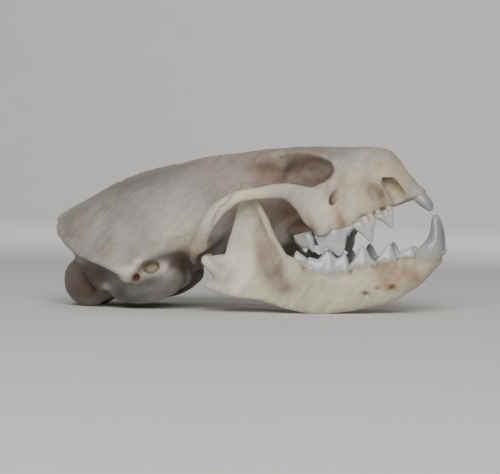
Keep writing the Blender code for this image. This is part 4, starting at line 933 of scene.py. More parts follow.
# Brown flecks over the front of the jaw: where they gather, their spread, sizes, how much longer
# than high they are, their reach outwards, strengths and number
FLECK_PLACE = (27.2, 7.4, 7.0)
FLECK_SPREAD = (2.6, 0.8, 1.3)
FLECK_SIZES = (0.3, 0.85)
FLECK_LENGTHENING = (0.7, 1.6)
FLECK_REACH_OUT = 1.6
FLECK_STRENGTHS = (0.25, 0.7)
FLECK_COUNT = 34
UPPER_TOOTH_PATCHES = (
    (ENAMEL_SHADE_TONE, (39.2, 2.5, -1.4), (2.4, 3.0, 3.0), 0.85),
    (NECK_TONE, (31.7, 7.0, -0.9), (2.6, 2.0, 0.75), 0.75),
    (NECK_TONE, (27.9, 7.8, -1.1), (3.0, 2.0, 0.9), 0.75),
    (NECK_TONE, (22.4, 9.6, -1.5), (4.6, 2.0, 0.5), 0.55),
    (NECK_TONE, (17.0, 8.0, -1.1), (2.4, 4.0, 0.6), 0.55),
    (ORBIT_TONE_AND_SHADE, (16.6, 9.4, -2.0), (1.5, 1.6, 1.0), 0.6),
    (NECK_TONE, (38.2, 2.0, 0.2), (1.6, 2.4, 0.8), 0.55),
)
LOWER_TOOTH_PATCHES = (
    (ENAMEL_SHADE_TONE, (34.2, 3.5, 14.0), (2.6, 4.0, 5.0), 1.0),
    (NECK_TONE, (32.6, 4.0, 10.2), (3.4, 2.6, 1.0), 0.55),
    (NECK_TONE, (28.8, 5.0, 10.0), (2.2, 2.0, 0.55), 0.65),
    (NECK_TONE, (25.3, 6.3, 9.4), (2.4, 2.0, 0.6), 0.65),
    (NECK_TONE, (21.3, 7.5, 8.5), (2.8, 2.0, 0.6), 0.65),
    (NECK_TONE, (15.1, 8.9, 7.2), (4.4, 2.0, 0.6), 0.60),
    (NECK_TONE, (10.4, 9.8, 9.1), (1.6, 1.8, 0.5), 0.60),
    (NECK_TONE, (35.0, 1.5, 9.8), (1.2, 2.4, 0.7), 0.55),
)
# Painted shade: hollows darken towards the crevice shade tone. The depth that counts in full, how
# many smoothing steps find it, and how far each part darkens
CREVICE_DEPTH = 0.16
CREVICE_STEPS = 14
CRANIUM_CREVICES = 0.55
JAW_CREVICES = 0.5
TOOTH_CREVICES = 0.35
TURBINATE_CREVICES = 0.2

# Patterns in the bone: layout, scale per millimetre, detail, roughness and distortion
BONE_PATTERNS = {
    "mottling": ("even", 0.16, 5.0, 0.6, 0.4),
    "grain": ("even", 1.5, 6.0, 0.65, 0.0),
    "streaks": ("lengthwise", 0.9, 4.0, 0.6, 0.0),
    "fibres": ("sloping", 0.9, 4.0, 0.6, 0.0),
    "warmth": ("even", 0.07, 3.0, 0.5, 0.0),
    "blotch": ("even", 0.45, 4.0, 0.6, 0.6),
}
LENGTHWISE = (0.35, 1.3, 1.3)
# Slope of the fibres in the side view
FIBRE_SLOPE = radians(52.0)
FIBRE_STRETCH = (5.0, 2.0, 0.8)
PIT_SCALE = 1.35
# Strength of an effect: a pattern's low and high value, and the strength at each
PIT_EDGES = (0.05, 0.17, 1.0, 0.0)
PITTED_AREAS = (0.5, 0.64, 0.0, 1.0)
WARM_AREAS = (0.4, 0.66, 0.0, 0.6)
STAINED_AREAS = (0.58, 0.75, 0.0, 0.45)
# Where a pattern counts as low and as high
USUAL_RANGE = (0.3, 0.7)
MOTTLING_RANGE = (0.32, 0.68)
# The mottling lightens less than it darkens
MOTTLING_LIGHTER = 0.7
# How far each pattern shades the bone: its low and high value, and the shade at each
BONE_SHADES = (
    ("grain", 0.3, 0.7, 0.955, 1.035),
    ("streaks", 0.3, 0.7, 0.965, 1.03),
    ("fibres", 0.32, 0.68, 0.89, 1.07),
    ("pits", 0.0, 1.0, 1.0, 0.74),
)
BONE_GLOSS = (-0.07, 0.08)
# How far each pattern raises the bone, in shares of the relief
GRAIN_HEIGHT = 0.55
BONE_HEIGHTS = (("streaks", 0.35), ("fibres", 0.8), ("pits", -0.9), ("blotch", 0.9))
BONE_BUMP = 0.9
BONE_SHEEN = (
    ("Specular IOR Level", 0.42),
    ("Subsurface Weight", 0.12),
    ("Subsurface Scale", 0.0007),
    ("Subsurface Radius", (1.0, 0.62, 0.4)),
)
# The enamel's haze and fine upright lines: scale per millimetre, detail, roughness; then the
# shade of each at its low and high value
ENAMEL_HAZE = (0.55, 4.0, 0.55)
ENAMEL_LINES = (1.1, 3.0, 0.5)
UPRIGHT = (2.4, 2.4, 0.35)
HAZE_SHADES = (0.93, 1.04)
LINE_SHADES = (0.965, 1.02)
ENAMEL_GLOSS = (-0.04, 0.07)
ENAMEL_RELIEF = 0.25
ENAMEL_BUMP = 0.7
ENAMEL_SHEEN = (
    ("Specular IOR Level", 0.55),
    ("Coat Weight", 0.25),
    ("Coat Roughness", 0.12),
    ("Subsurface Weight", 0.15),
    ("Subsurface Scale", 0.0006),
    ("Subsurface Radius", (1.0, 0.8, 0.65)),
)
# The card's unevenness: scale per millimetre, detail, roughness; and its darker tone
CARD_FLEECE = (0.02, 3.0, 0.55)
CARD_DARKER = 0.985
CARD_SHEEN = (("Roughness", 0.9), ("Specular IOR Level", 0.15))


def spline(rows):
    """Return a function that gives a table's columns at any value of its first column."""
    table = np.array(rows, dtype=float)
    stations = table[:, 0]
    columns = table[:, 1:]
    slopes = np.gradient(columns, stations, axis=0)
    known = {}

    def at(value):
        value = min(max(value, stations[0]), stations[-1])
        if value not in known:
            start = int(np.searchsorted(stations, value, side="right")) - 1
            start = min(max(start, 0), len(stations) - 2)
            step = stations[start + 1] - stations[start]
            t = (value - stations[start]) / step
            rise = columns[start + 1] - columns[start]
            bend_in = slopes[start] * step - rise
            bend_out = rise - slopes[start + 1] * step
            bend = (1 - t) * bend_in + t * bend_out
            known[value] = columns[start] + t * rise + t * (1 - t) * bend
        return known[value]

    return at


def numbered(rows):
    """A spline over the row numbers of a path, which may turn back on itself."""
    return spline([(number, *row) for number, row in enumerate(rows)])


def square_to(along, way):
    """The direction nearest to a way that stands square to another."""
    return (way - along * way.dot(along)).normalized()


def skull_place(ahead, out, up):
    """Turn a point of the skull into one of the world, in millimetres."""
    world_ahead = JOINT_AHEAD + ahead * cos(NOSE_UP) - up * sin(NOSE_UP)
    world_up = JOINT_UP + ahead * sin(NOSE_UP) + up * cos(NOSE_UP)
    return Vector((world_ahead, out, world_up))


def skull_points(points):
    """Turn world points, in millimetres, into the skull's (ahead, distance from midline, up)."""
    run = points[:, 0] - JOINT_AHEAD
    rise = points[:, 2] - JOINT_UP
    ahead = run * cos(NOSE_UP) + rise * sin(NOSE_UP)
    up = rise * cos(NOSE_UP) - run * sin(NOSE_UP)
    return np.stack((ahead, np.abs(points[:, 1]), up), axis=1)


def jaw_points(points):
    """Turn world points into (ahead, distance from midline, up) for the jaw's patches."""
    return np.stack((points[:, 0], np.abs(points[:, 1]), points[:, 2]), axis=1)


def jaw_place_on(side):
    """Return the jaw's own place function, which stops at the flat face of the symphysis."""
    inner = SYMPHYSIS_GAP / 2.0

    def place(ahead, out, up):
        return Vector((ahead, side * max(side * out, inner), up))

    return place


def world_place(ahead, out, up):
    """The place of a point that is already one of the world."""
    return Vector((ahead, out, up))


def signed_power(value, power):
    """A power that keeps the sign, for sections between a diamond, an oval and a box."""
    return copysign(abs(value) ** power, value)


def add_object(name, mesh, collection):
    """Turn a bmesh into an object, and free it."""
    data = bpy.data.meshes.new(name)
    mesh.to_mesh(data)
    mesh.free()
    item = bpy.data.objects.new(name, data)
    collection.objects.link(item)
    return item


def face_outwards(mesh):
    """Turn all faces of a closed bmesh outwards."""
    bmesh.ops.recalc_face_normals(mesh, faces=mesh.faces)
    if mesh.calc_volume(signed=True) < 0.0:
        bmesh.ops.reverse_faces(mesh, faces=mesh.faces)


def closed_body(surface, place, collection, rings=RINGS, sides=SIDES):
    """Make a closed body: the rings of a sphere are moved to surface(t, angle)."""
    mesh = bmesh.new()
    bmesh.ops.create_uvsphere(mesh, u_segments=sides, v_segments=rings + 1, radius=1.0)
    for vert in mesh.verts:
        polar = acos(min(max(vert.co.z, -1.0), 1.0))
        ring = round(polar / pi * (rings + 1))
        angle = atan2(vert.co.y, vert.co.x)
        t = (min(max(ring, 1), rings) - 1) / (rings - 1)
        at_pole = ring in (0, rings + 1)
        vert.co = place(*surface(t, None if at_pole else angle))
    face_outwards(mesh)
    return add_object("form", mesh, collection)


def hull(rows, collection):
    """A form across the midline, from its stations along the skull."""
    at = spline(rows)
    first = rows[0][0]
    last = rows[-1][0]

    def surface(t, angle):
        ahead = first + (last - first) * t
        top, half_width, widest_at, bottom, above, below = at(ahead)
        if angle is None:
            return ahead, 0.0, widest_at
        across = cos(angle)
        rise = sin(angle)
        power = 2.0 / (above if rise > 0 else below)
        height = top - widest_at if rise > 0 else widest_at - bottom
        return (
            ahead,
            half_width * signed_power(across, power),
            widest_at + height * signed_power(rise, power),
        )

    return closed_body(surface, skull_place, collection)


def jaw_hull(rows, side, collection):
    """The jaw half's bar, from its stations along the jaw."""
    at = spline(rows)
    first = rows[0][0]
    last = rows[-1][0]

    def surface(t, angle):
        ahead = first + (last - first) * t
        top, out, half_thick, bottom, square = at(ahead)
        middle = (top + bottom) / 2.0
        if angle is None:
            return ahead, side * out, middle
        power = 2.0 / square
        return (
            ahead,
            side * (out + half_thick * signed_power(cos(angle), power)),
            middle + (top - bottom) / 2.0 * signed_power(sin(angle), power),
        )

    return closed_body(surface, jaw_place_on(side), collection, JAW_RINGS)


def sweep(rows, place, side, collection, rims=None, rings=RINGS, sides=SIDES, by_edge=False):
    """A bar or ridge along a path, with an oval section that keeps its rim's direction.

    With by_edge the path is the rim's outer edge and not the middle.
    """
    at = numbered(rows)
    last = len(rows) - 1
    sections = {}

    def section(t):
        value = t * last
        ahead, out, up, half_rim, half_thick = at(value)
        middle = Vector((ahead, out, up))
        before = Vector(at(value - TANGENT_STEP)[:3])
        after = Vector(at(value + TANGENT_STEP)[:3])
        along = (after - before).normalized()
        if rims is None:
            thin = square_to(along, Vector((0.0, 1.0, 0.0)))
            rim = thin.cross(along).normalized()
        else:
            rim = square_to(along, Vector(rims(value / last)))
            thin = along.cross(rim).normalized()
        if by_edge:
            middle -= rim * half_rim
        return middle, rim * half_rim, thin * half_thick

    def surface(t, angle):
        if t not in sections:
            sections[t] = section(t)
        middle, rim, thin = sections[t]
        point = middle
        if angle is not None:
            point = middle + rim * cos(angle) + thin * sin(angle)
        return point.x, side * point.y, point.z

    return closed_body(surface, place, collection, rings, sides)


def rounded(form, place, side, collection, rings=RINGS, sides=SIDES):
    """An oval form, tilted nose up by its last value."""
    ahead, out, up, half_length, half_width, half_height, tilt = form
    turn = radians(tilt)

    def surface(t, angle):
        polar = pi * (t * (rings - 1) + 1) / (rings + 1)
        if angle is None:
            polar = 0.0 if t < 0.5 else pi
            angle = 0.0
        length = half_length * cos(polar)
        height = half_height * sin(polar) * sin(angle)
        width = half_width * sin(polar) * cos(angle)
        return (
            ahead + length * cos(turn) - height * sin(turn),
            side * out + width,
            up + length * sin(turn) + height * cos(turn),
        )

    return closed_body(surface, place, collection, rings, sides)


def spire(rows, place, side, collection, rings, sides):
    """A tooth's form: rows of level, front, rear, out and half width from its root to its tip."""
    at = numbered(rows)
    last = len(rows) - 1

    def surface(t, angle):
        level, front, rear, out, half_width = at(t * last)
        middle = (front + rear) / 2.0
        if angle is None:
            return middle, side * out, level
        half_length = (front - rear) / 2.0
        return (
            middle + half_length * cos(angle),
            side * out + half_width * sin(angle),
            level,
        )

    return closed_body(surface, place, collection, rings, sides)


def crown(form, place, side, collection):
    """A cheek tooth's crown: a wedge under the outline of its biting edge, swollen at the gum."""
    gum, underside, out_rear, out_front, half_width, edge = form
    edge_at = spline(edge)
    first = edge[0][0]
    last = edge[-1][0]

    def surface(t, angle):
        ahead = first + (last - first) * t
        out = out_rear + (out_front - out_rear) * t
        level = edge_at(ahead)[0]
        belly = gum + (level - gum) * BELLY_SHARE
        if angle is None:
            return ahead, side * out, belly
        rise = sin(angle)
        round_end = max(0.0, 1.0 - abs(2.0 * t - 1.0) ** CROWN_END_POWER) ** 0.5
        width = half_width * (CROWN_END_WIDTH + (1.0 - CROWN_END_WIDTH) * round_end)
        square = CROWN_SQUARE_ABOVE if rise > 0 else CROWN_SQUARE_BELOW
        across = width * signed_power(cos(angle), 2.0 / square)
        height = (level - belly) if rise > 0 else (belly - underside)
        return ahead, side * out + across, belly + height * rise

    return closed_body(surface, place, collection, *CROWN_MESH)


def cone(form, gum, place, side, collection):
    """A cusp: a rounded cone from inside the crown to its tip."""
    ahead, out, tip, half_length, half_width = form
    rows = []
    for share, size in CUSP_OUTLINE:
        lean = CUSP_LEAN * share * half_length
        front = ahead + half_length * size + lean
        rear = ahead - half_length * size + lean
        rows.append((gum + (tip - gum) * share, front, rear, out, half_width * size))
    return spire(rows, place, side, collection, *CUSP_MESH)


def root(form, place, side, collection):
    """One root of a cheek tooth, from inside its crown into the bone."""
    ahead, out, crown_level, bone_level, half_length, half_width = form
    rows = []
    for share, size in ROOT_OUTLINE:
        level = crown_level + (bone_level - crown_level) * share
        front = ahead + half_length * size
        rear = ahead - half_length * size
        rows.append((level, front, rear, out - ROOT_LEAN * share, half_width * size))
    return spire(rows, place, side, collection, *ROOT_MESH)


def add_all(maker, shapes, place, side, collection, *details):
    """Make a body of each shape, in the order given."""
    for shape in shapes:
        maker(shape, place, side, collection, *details)


def add_ovals(shapes, place, side, collection, rings=RINGS):
    """Make an oval form of each shape, with as many sides as rings."""
    add_all(rounded, shapes, place, side, collection, rings, rings)


def apply_modifiers(item):
    """Replace an object's mesh by what its modifiers make of it."""
    bpy.context.view_layer.update()
    evaluated = item.evaluated_get(bpy.context.evaluated_depsgraph_get())
    mesh = bpy.data.meshes.new_from_object(evaluated)
    item.modifiers.clear()
    item.data = mesh


def new_group(name):
    group = bpy.data.collections.new(name)
    bpy.context.scene.collection.children.link(group)
    return group


def drop_collection(collection):
    for item in list(collection.objects):
        bpy.data.objects.remove(item, do_unlink=True)
    bpy.data.collections.remove(collection)


def combine(item, collection, operation, solver="MANIFOLD"):
    """Join a collection's closed objects to an object, or cut them out of it."""
    modifier = item.modifiers.new(operation.lower(), "BOOLEAN")
    modifier.operation = operation
    modifier.operand_type = "COLLECTION"
    modifier.collection = collection
    modifier.solver = solver
    apply_modifiers(item)
    drop_collection(collection)


def even_out(item, voxel, smoothing, crease_steps=0):
    """Give a body an even mesh, smooth it and fill its creases."""
    remesh = item.modifiers.new("remesh", "REMESH")
    remesh.mode = "VOXEL"
    remesh.voxel_size = voxel
    smooth = item.modifiers.new("smooth", "SMOOTH")
    smooth.factor = 0.5
    smooth.iterations = smoothing
    apply_modifiers(item)
    fill_creases(item, crease_steps)


def count_triangles(item):
    return sum(len(polygon.vertices) - 2 for polygon in item.data.polygons)


def thin_out(item, triangles):
    """Keep about as many triangles as asked, most where the surface bends."""
    present = count_triangles(item)
    if present > triangles:
        decimate = item.modifiers.new("decimate", "DECIMATE")
        decimate.ratio = triangles / present
        decimate.use_collapse_triangulate = True
        apply_modifiers(item)


def read_rows(items, attribute, width, kind=float):
    """Return one attribute of a mesh's items as the rows of an array."""
    flat = np.empty(len(items) * width, dtype=kind)
    items.foreach_get(attribute, flat)
    return flat.reshape(-1, width)


def read_points(mesh):
    return read_rows(mesh.vertices, "co", 3)


def read_normals(mesh):
    return read_rows(mesh.vertex_normals, "vector", 3)


def write_points(mesh, points):
    mesh.vertices.foreach_set("co", points.ravel())
    mesh.update()


def read_net(mesh):
    """Return a mesh's edges, and how many of them meet at each point."""
    edges = read_rows(mesh.edges, "vertices", 2, np.int32)
    valence = np.bincount(edges.ravel(), minlength=len(mesh.vertices))
    return edges, np.maximum(valence, 1)


def neighbour_means(points, edges, valence):
    """The middle of each point's neighbours."""
    means = np.empty_like(points)
    count = len(points)
    for axis in range(3):
        column = points[:, axis]
        means[:, axis] = np.bincount(edges[:, 0], column[edges[:, 1]], count)
        means[:, axis] += np.bincount(edges[:, 1], column[edges[:, 0]], count)
    return means / valence[:, None]


def fill_creases(item, steps):
    """Round the valleys where forms meet, and leave the ridges as they are."""
    mesh = item.data
    points = read_points(mesh)
    net = read_net(mesh)
    for step in range(steps):
        normals = read_normals(mesh)
        offset = neighbour_means(points, *net) - points
        lift = np.einsum("ij,ij->i", offset, normals)
        slide = offset - normals * lift[:, None]
        raised = (np.maximum(lift, 0.0) * CREASE_STRENGTH)[:, None]
        points += normals * raised + slide * CREASE_SLIDE
        write_points(mesh, points)


def hollowness(mesh, steps):
    """How far each point lies below its surroundings, in millimetres; ridges are negative."""
    points = read_points(mesh)
    net = read_net(mesh)
    smooth = points.copy()
    for step in range(steps):
        smooth += (neighbour_means(smooth, *net) - smooth) * HOLLOW_STEP
    return np.einsum("ij,ij->i", smooth - points, read_normals(mesh))


def ripple(points, wavelength, seed):
    """Smooth irregular values, mostly between -1 and 1, at every point."""
    chance = np.random.default_rng(seed)
    total = np.zeros(len(points))
    for wave in range(WAVES_ADDED):
        direction = chance.normal(size=3)
        direction /= np.linalg.norm(direction)
        length = wavelength * chance.uniform(*WAVE_SPREAD)
        total += np.sin(points @ direction * (2.0 * pi / length) + chance.uniform(0.0, 2.0 * pi))
    return total / (WAVES_ADDED / 2.0) ** 0.5 * WAVE_HEIGHT


def shells(mesh):
    """Return the closed surfaces of a bmesh, each as a list of faces."""
    unseen = set(mesh.faces)
    found = []
    while unseen:
        stack = [unseen.pop()]
        shell = []
        while stack:
            face = stack.pop()
            shell.append(face)
            for edge in face.edges:
                for other in edge.link_faces:
                    if other in unseen:
                        unseen.remove(other)
                        stack.append(other)
        found.append(shell)
    return found


def keep_largest(item):
    """Keep only the closed surface that has the most faces."""
    mesh = bmesh.new()
    mesh.from_mesh(item.data)
    found = sorted(shells(mesh), key=len)
    extra = [face for shell in found[:-1] for face in shell]
    if extra:
        bmesh.ops.delete(mesh, geom=extra, context="FACES")
        loose = [vert for vert in mesh.verts if not vert.link_faces]
        bmesh.ops.delete(mesh, geom=loose, context="VERTS")
    mesh.to_mesh(item.data)
    mesh.free()


def upright(t):
    return (0.0, 0.0, 1.0)


def nuchal_rim(t):
    """The nuchal crest flares backwards, and outwards at its lower end."""
    outwards = 1.0 - t
    return (-1.0, 0.9 * outwards, -0.15 - 0.2 * outwards)


def wire_rim(t):
    """A slant that no suture or crack runs along."""
    return (0.31, 0.22, 0.93)


def lay_wire(tree, course, start_at, direction, half_width, seed, collection):
    """A thin wire laid on the bone along a course, to be cut out of it as a suture or crack."""
    chance = np.random.default_rng(seed)
    at = numbered(course)
    length = sum((Vector(b) - Vector(a)).length for a, b in zip(course, course[1:]))
    count = max(WIRE_LEAST_POINTS, round(length / SUTURE_STEP))
    runs = [[]]
    for step in range(count + 1):
        first, second = at(step / count * (len(course) - 1))
        first += chance.uniform(-1.0, 1.0) * half_width
        second += chance.uniform(-1.0, 1.0) * half_width
        hit = tree.ray_cast(start_at(first, second), direction)[0]
        if hit is None:
            continue
        if runs[-1] and (hit - runs[-1][-1]).length > SUTURE_BREAK * SUTURE_STEP:
            runs.append([])
        runs[-1].append(hit)
    end_width = half_width * WIRE_END_SHARE
    for run in runs:
        if len(run) >= WIRE_LEAST_POINTS:
            rows = [(*point, half_width, half_width) for point in run]
            rows[0] = (*run[0], end_width, end_width)
            rows[-1] = (*run[-1], end_width, end_width)
            sweep(rows, world_place, 1, collection, wire_rim, 2 * len(run), WIRE_SIDES)


def lay_side_wires(tree, courses, place, side, half_width, seed, collection):
    """Wires on one side of a bone, along courses that are seen from that side."""
    for number, course in enumerate(courses):
        lay_wire(
            tree, course, lambda ahead, up: place(ahead, side * FAR_OUT, up),
            Vector((0.0, -side, 0.0)), half_width, seed + number + side, collection,
        )


def tree_of(item):
    """A search tree over an object's faces, for rays."""
    mesh = bmesh.new()
    mesh.from_mesh(item.data)
    tree = BVHTree.FromBMesh(mesh)
    mesh.free()
    return tree


def paint(item, tone, patches, to_local, crevice_shade):
    """Give each point the bone's colour there: soft patches, part of them painted shade or
    highlight, and painted shade in the crevices.
    """
    mesh = item.data
    local = to_local(read_points(mesh))
    colours = np.tile(np.array(tone), (len(local), 1))
    for colour, place, reach, strength in patches:
        apart = (local - np.array(place)) / np.array(reach)
        share = strength * np.exp(-(apart**2).sum(axis=1))
        colours += (np.array(colour) - colours) * share[:, None]
    # Painted shade: hollows and creases darken towards the crevice shade tone
    depth = np.clip(hollowness(mesh, CREVICE_STEPS) / CREVICE_DEPTH, 0.0, 1.0)
    colours += (np.array(CREVICE_SHADE_TONE) - colours) * (depth * crevice_shade)[:, None]
    layer = mesh.color_attributes.new("tone", "FLOAT_COLOR", "POINT")
    opaque = np.concatenate((colours, np.ones((len(colours), 1))), axis=1)
    layer.data.foreach_set("color", opaque.ravel())


def flecks(seed):
    """Small brown patches, strewn about one place."""
    chance = np.random.default_rng(seed)
    for number in range(FLECK_COUNT):
        place = np.array(FLECK_PLACE) + chance.normal(size=3) * FLECK_SPREAD
        size = chance.uniform(*FLECK_SIZES)
        strength = chance.uniform(*FLECK_STRENGTHS)
        reach = (size * chance.uniform(*FLECK_LENGTHENING), FLECK_REACH_OUT, size)
        yield STAIN_AND_SHADE_TONE, tuple(place), reach, strength


def finish_piece(item, name, nodes, material):
    """Scale a piece to metres, give it its finish, attach it to the root body and hide the imported
    parts it stands for.
    """
    item.name = name
    item.data.name = name
    item.data.transform(Matrix.Scale(1.0 / MM_PER_METRE, 4))
    item.data.materials.clear()
    item.data.materials.append(material)
    item.data.shade_smooth()
    for collection in list(item.users_collection):
        collection.objects.unlink(item)
    bpy.context.scene.collection.objects.link(item)
    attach(item, "root")
    if nodes:
        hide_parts(*nodes)


def join_cranium(whole):
    """Join the midline forms, take out the orbits, and join the bars, crests and knobs."""
    forms = new_group("cranium_forms")
    for rows in (FRONTAL, ORBIT_WALL, ROSTRUM, MAXILLA, PALATINE, OCCIPUT, SPHENOID):
        hull(rows, forms)
    combine(whole, forms, "UNION")
    orbits = new_group("orbits")
    for side in (-1, 1):
        add_ovals((ORBIT, ORBIT_FRONT), skull_place, side, orbits)
    combine(whole, orbits, "DIFFERENCE")

    forms = new_group("cranium_bars")
    bars = (
        CHEEK, ARCH_ROOT, EAR_SHELF, TEMPORAL_LINE, POSTORBITAL_RIDGE, ORBIT_FRONT_RIM,
        ORBIT_SPINE, PTERYGOID, PAROCCIPITAL,
    )
    knobs = (CONDYLE, MASTOID, POSTORBITAL, CANINE_BULGE, PREMAXILLA)
    sweep(SAGITTAL_CREST, skull_place, 1, forms)
    for side in (-1, 1):
        sweep(NUCHAL_CREST, skull_place, side, forms, nuchal_rim, by_edge=True)
        sweep(ARCH, skull_place, side, forms, None, ARCH_RINGS, ARCH_SIDES)
        add_all(sweep, bars, skull_place, side, forms)
        add_all(sweep, (GLENOID, POSTGLENOID), skull_place, side, forms, upright)
        add_ovals(knobs, skull_place, side, forms)
        swellings = UPPER_ROOT_SWELLINGS if side < 0 else UPPER_ROOT_SWELLINGS[LOST_SWELLINGS:]
        add_ovals(swellings, skull_place, side, forms, SWELLING_RINGS)
    combine(whole, forms, "UNION")
    even_out(whole, CRANIUM_VOXEL, CRANIUM_SMOOTHING, CRANIUM_CREASE_STEPS)


def join_ear_capsules(whole):
    """Join the ear capsules, which keep a sharper crease round them than the other forms."""
    forms = new_group("ear_capsules")
    for side in (-1, 1):
        add_ovals((BULLA, BULLA_BEAK), skull_place, side, forms)
        sweep(EAR_TUBE, skull_place, side, forms, upright)
    combine(whole, forms, "UNION")
    even_out(whole, CRANIUM_VOXEL, BULLA_SMOOTHING, BULLA_CREASE_STEPS)


def open_cranium(whole):
    """Cut the large openings, the hollows and the empty tooth sockets."""
    openings = new_group("cranium_openings")
    canals = (CANINE_SOCKET, SOCKET_CORE, INFRAORBITAL)
    hollows = (CONDYLE_DIMPLE, ORBIT_CORE, MUZZLE_HOLLOW, STYLOMASTOID)
    add_ovals((FORAMEN_MAGNUM, PALATE_HOLLOW, CHOANA), skull_place, 1, openings)
    sweep(NASAL_OPENING, skull_place, 1, openings)
    for side in (-1, 1):
        add_all(sweep, canals, skull_place, side, openings)
        sweep(EAR_OPENING, skull_place, side, openings, upright)
        add_ovals(hollows, skull_place, side, openings)
    for tooth in LOST_LEFT:
        sockets = [
            (ahead, out, EMPTY_SOCKET_UP, half_length, half_width, EMPTY_SOCKET_DEPTH, 0.0)
            for ahead, out, _, _, half_length, half_width in UPPER_ROOTS[tooth]
        ]
        add_ovals(sockets, skull_place, 1, openings, SOCKET_RINGS)
    combine(whole, openings, "DIFFERENCE")


def model_cranium(form):
    """The braincase, snout, arches and ear capsules as one skin."""
    parts = new_group("cranium_parts")
    whole = hull(BRAINCASE, parts)
    join_cranium(whole)
    join_ear_capsules(whole)
    open_cranium(whole)
    even_out(whole, form.fineness * MM_PER_METRE, form.smoothing)
    roughen(whole, form, CRANIUM_WAVE_SEEDS, crest_notches)
    mark_cranium(whole)
    finish_bone(
        whole, CRANIUM_TRIANGLES, BRAINCASE_TONE, SKULL_PATCHES, skull_points, CRANIUM_CREVICES
    )
    return whole, parts


def stand_on_floor(item):
    """Bone that would lie under the floor's level is flat there."""
    points = read_points(item.data)
    points[:, 2] = np.maximum(points[:, 2], FLOOR_LEVEL)
    write_points(item.data, points)


def finish_bone(item, triangles, tone, patches, to_local, crevice_shade):
    """Thin out a bone's mesh, stand it on the floor and paint it."""
    thin_out(item, triangles)
    keep_largest(item)
    stand_on_floor(item)
    paint(item, tone, patches, to_local, crevice_shade)


def crest_notches(points):
    """Depth of the notches along the edge of the sagittal crest."""
    local = skull_points(points)
    along_crest = np.exp(-(((local[:, 0] - CREST_MIDDLE) / CREST_REACH) ** 4))
    near_edge = np.exp(-((local[:, 1] / CREST_EDGE) ** 2)) * (local[:, 2] > CREST_LEVEL)
    waves = ripple(points * np.array((1.0, 0.0, 1.0)), CREST_NOTCH_WAVE, CREST_NOTCH_SEED)
    return CREST_NOTCH_DEPTH * np.clip(waves, 0.0, 1.0) * along_crest * near_edge


def roughen(item, form, seeds, notches=None):
    """Give a bone the slight waviness that all of it has, and notches if it has any."""
    points = read_points(item.data)
    wave = form.waviness * MM_PER_METRE
    lift = wave * ripple(points, BROAD_WAVE, seeds[0])
    lift += FINE_SHARE * wave * ripple(points, FINE_WAVE, seeds[1])
    if notches is not None:
        lift -= notches(points)
    write_points(item.data, points + read_normals(item.data) * lift[:, None])


def mark_cranium(whole):
    """Cut the small holes and the sutures."""
    tree = tree_of(whole)
    marks = new_group("cranium_marks")
    down = skull_place(0.0, 0.0, -1.0) - skull_place(0.0, 0.0, 0.0)
    for side in (-1, 1):
        add_ovals(SKULL_HOLES, skull_place, side, marks, HOLE_RINGS)
        lay_side_wires(
            tree, JUGAL_SUTURES, skull_place, side, JUGAL_SUTURE_HALF_WIDTH, JUGAL_SUTURE_SEED,
            marks,
        )
    for number, course in enumerate(TOP_SUTURES):
        for side in (-1, 1) if course[0][1] > ON_MIDLINE else (1,):
            lay_wire(
                tree, course, lambda ahead, out: skull_place(ahead, side * out, FAR_UP), down,
                SUTURE_HALF_WIDTH, TOP_SUTURE_SEED + number + side, marks,
            )
    for number, course in enumerate(BASE_SUTURES):
        lay_wire(
            tree, course, lambda ahead, out: skull_place(ahead, out, FAR_DOWN), -down,
            SUTURE_HALF_WIDTH, BASE_SUTURE_SEED + number, marks,
        )
    combine(whole, marks, "DIFFERENCE")


def model_jaw(side, form):
    """One half of the lower jaw."""
    jaw_place = jaw_place_on(side)
    parts = new_group("jaw_parts")
    jaw = jaw_hull(JAW_BODY, side, parts)
    forms = new_group("jaw_forms")
    bars = (CORONOID_EDGE, JAW_ANGLE, JAW_NECK, JAW_NOTCH_RIM, SYMPHYSIS)
    sweep(CORONOID, jaw_place, side, forms, lambda t: (1.0, RAMUS_SLANT, 0.0))
    add_all(sweep, bars, jaw_place, side, forms)
    sweep(JAW_CONDYLE, jaw_place, side, forms, upright)
    add_ovals(LOWER_ROOT_SWELLINGS, jaw_place, side, forms, SWELLING_RINGS)
    combine(jaw, forms, "UNION")
    even_out(jaw, JAW_VOXEL, JAW_SMOOTHING, JAW_CREASE_STEPS)

    openings = new_group("jaw_openings")
    add_ovals((MASSETER_HOLLOW, *JAW_HOLES), jaw_place, side, openings)
    combine(jaw, openings, "DIFFERENCE")
    even_out(jaw, form.fineness * MM_PER_METRE * JAW_FINER, form.smoothing * JAW_SMOOTHER)
    roughen(jaw, form, JAW_WAVE_SEEDS)
    marks = new_group("jaw_marks")
    tree = tree_of(jaw)
    lay_side_wires(tree, JAW_CRACKS, world_place, side, CRACK_HALF_WIDTH, CRACK_SEED, marks)
    combine(jaw, marks, "DIFFERENCE")
    patches = (*JAW_PATCHES, *flecks(FLECK_SEED + side))
    finish_bone(jaw, JAW_TRIANGLES, JAW_TONE, patches, jaw_points, JAW_CREVICES)
    return jaw, parts


def model_tooth(forms, parts):
    """Melt a tooth's forms into one body."""
    tooth = forms.objects[0]
    forms.objects.unlink(tooth)
    parts.objects.link(tooth)
    if len(forms.objects):
        combine(tooth, forms, "UNION")
    else:
        drop_collection(forms)
    even_out(tooth, TOOTH_VOXEL, TOOTH_SMOOTHING, TOOTH_CREASE_STEPS)
    thin_out(tooth, count_triangles(tooth) * TOOTH_KEPT)
    return tooth


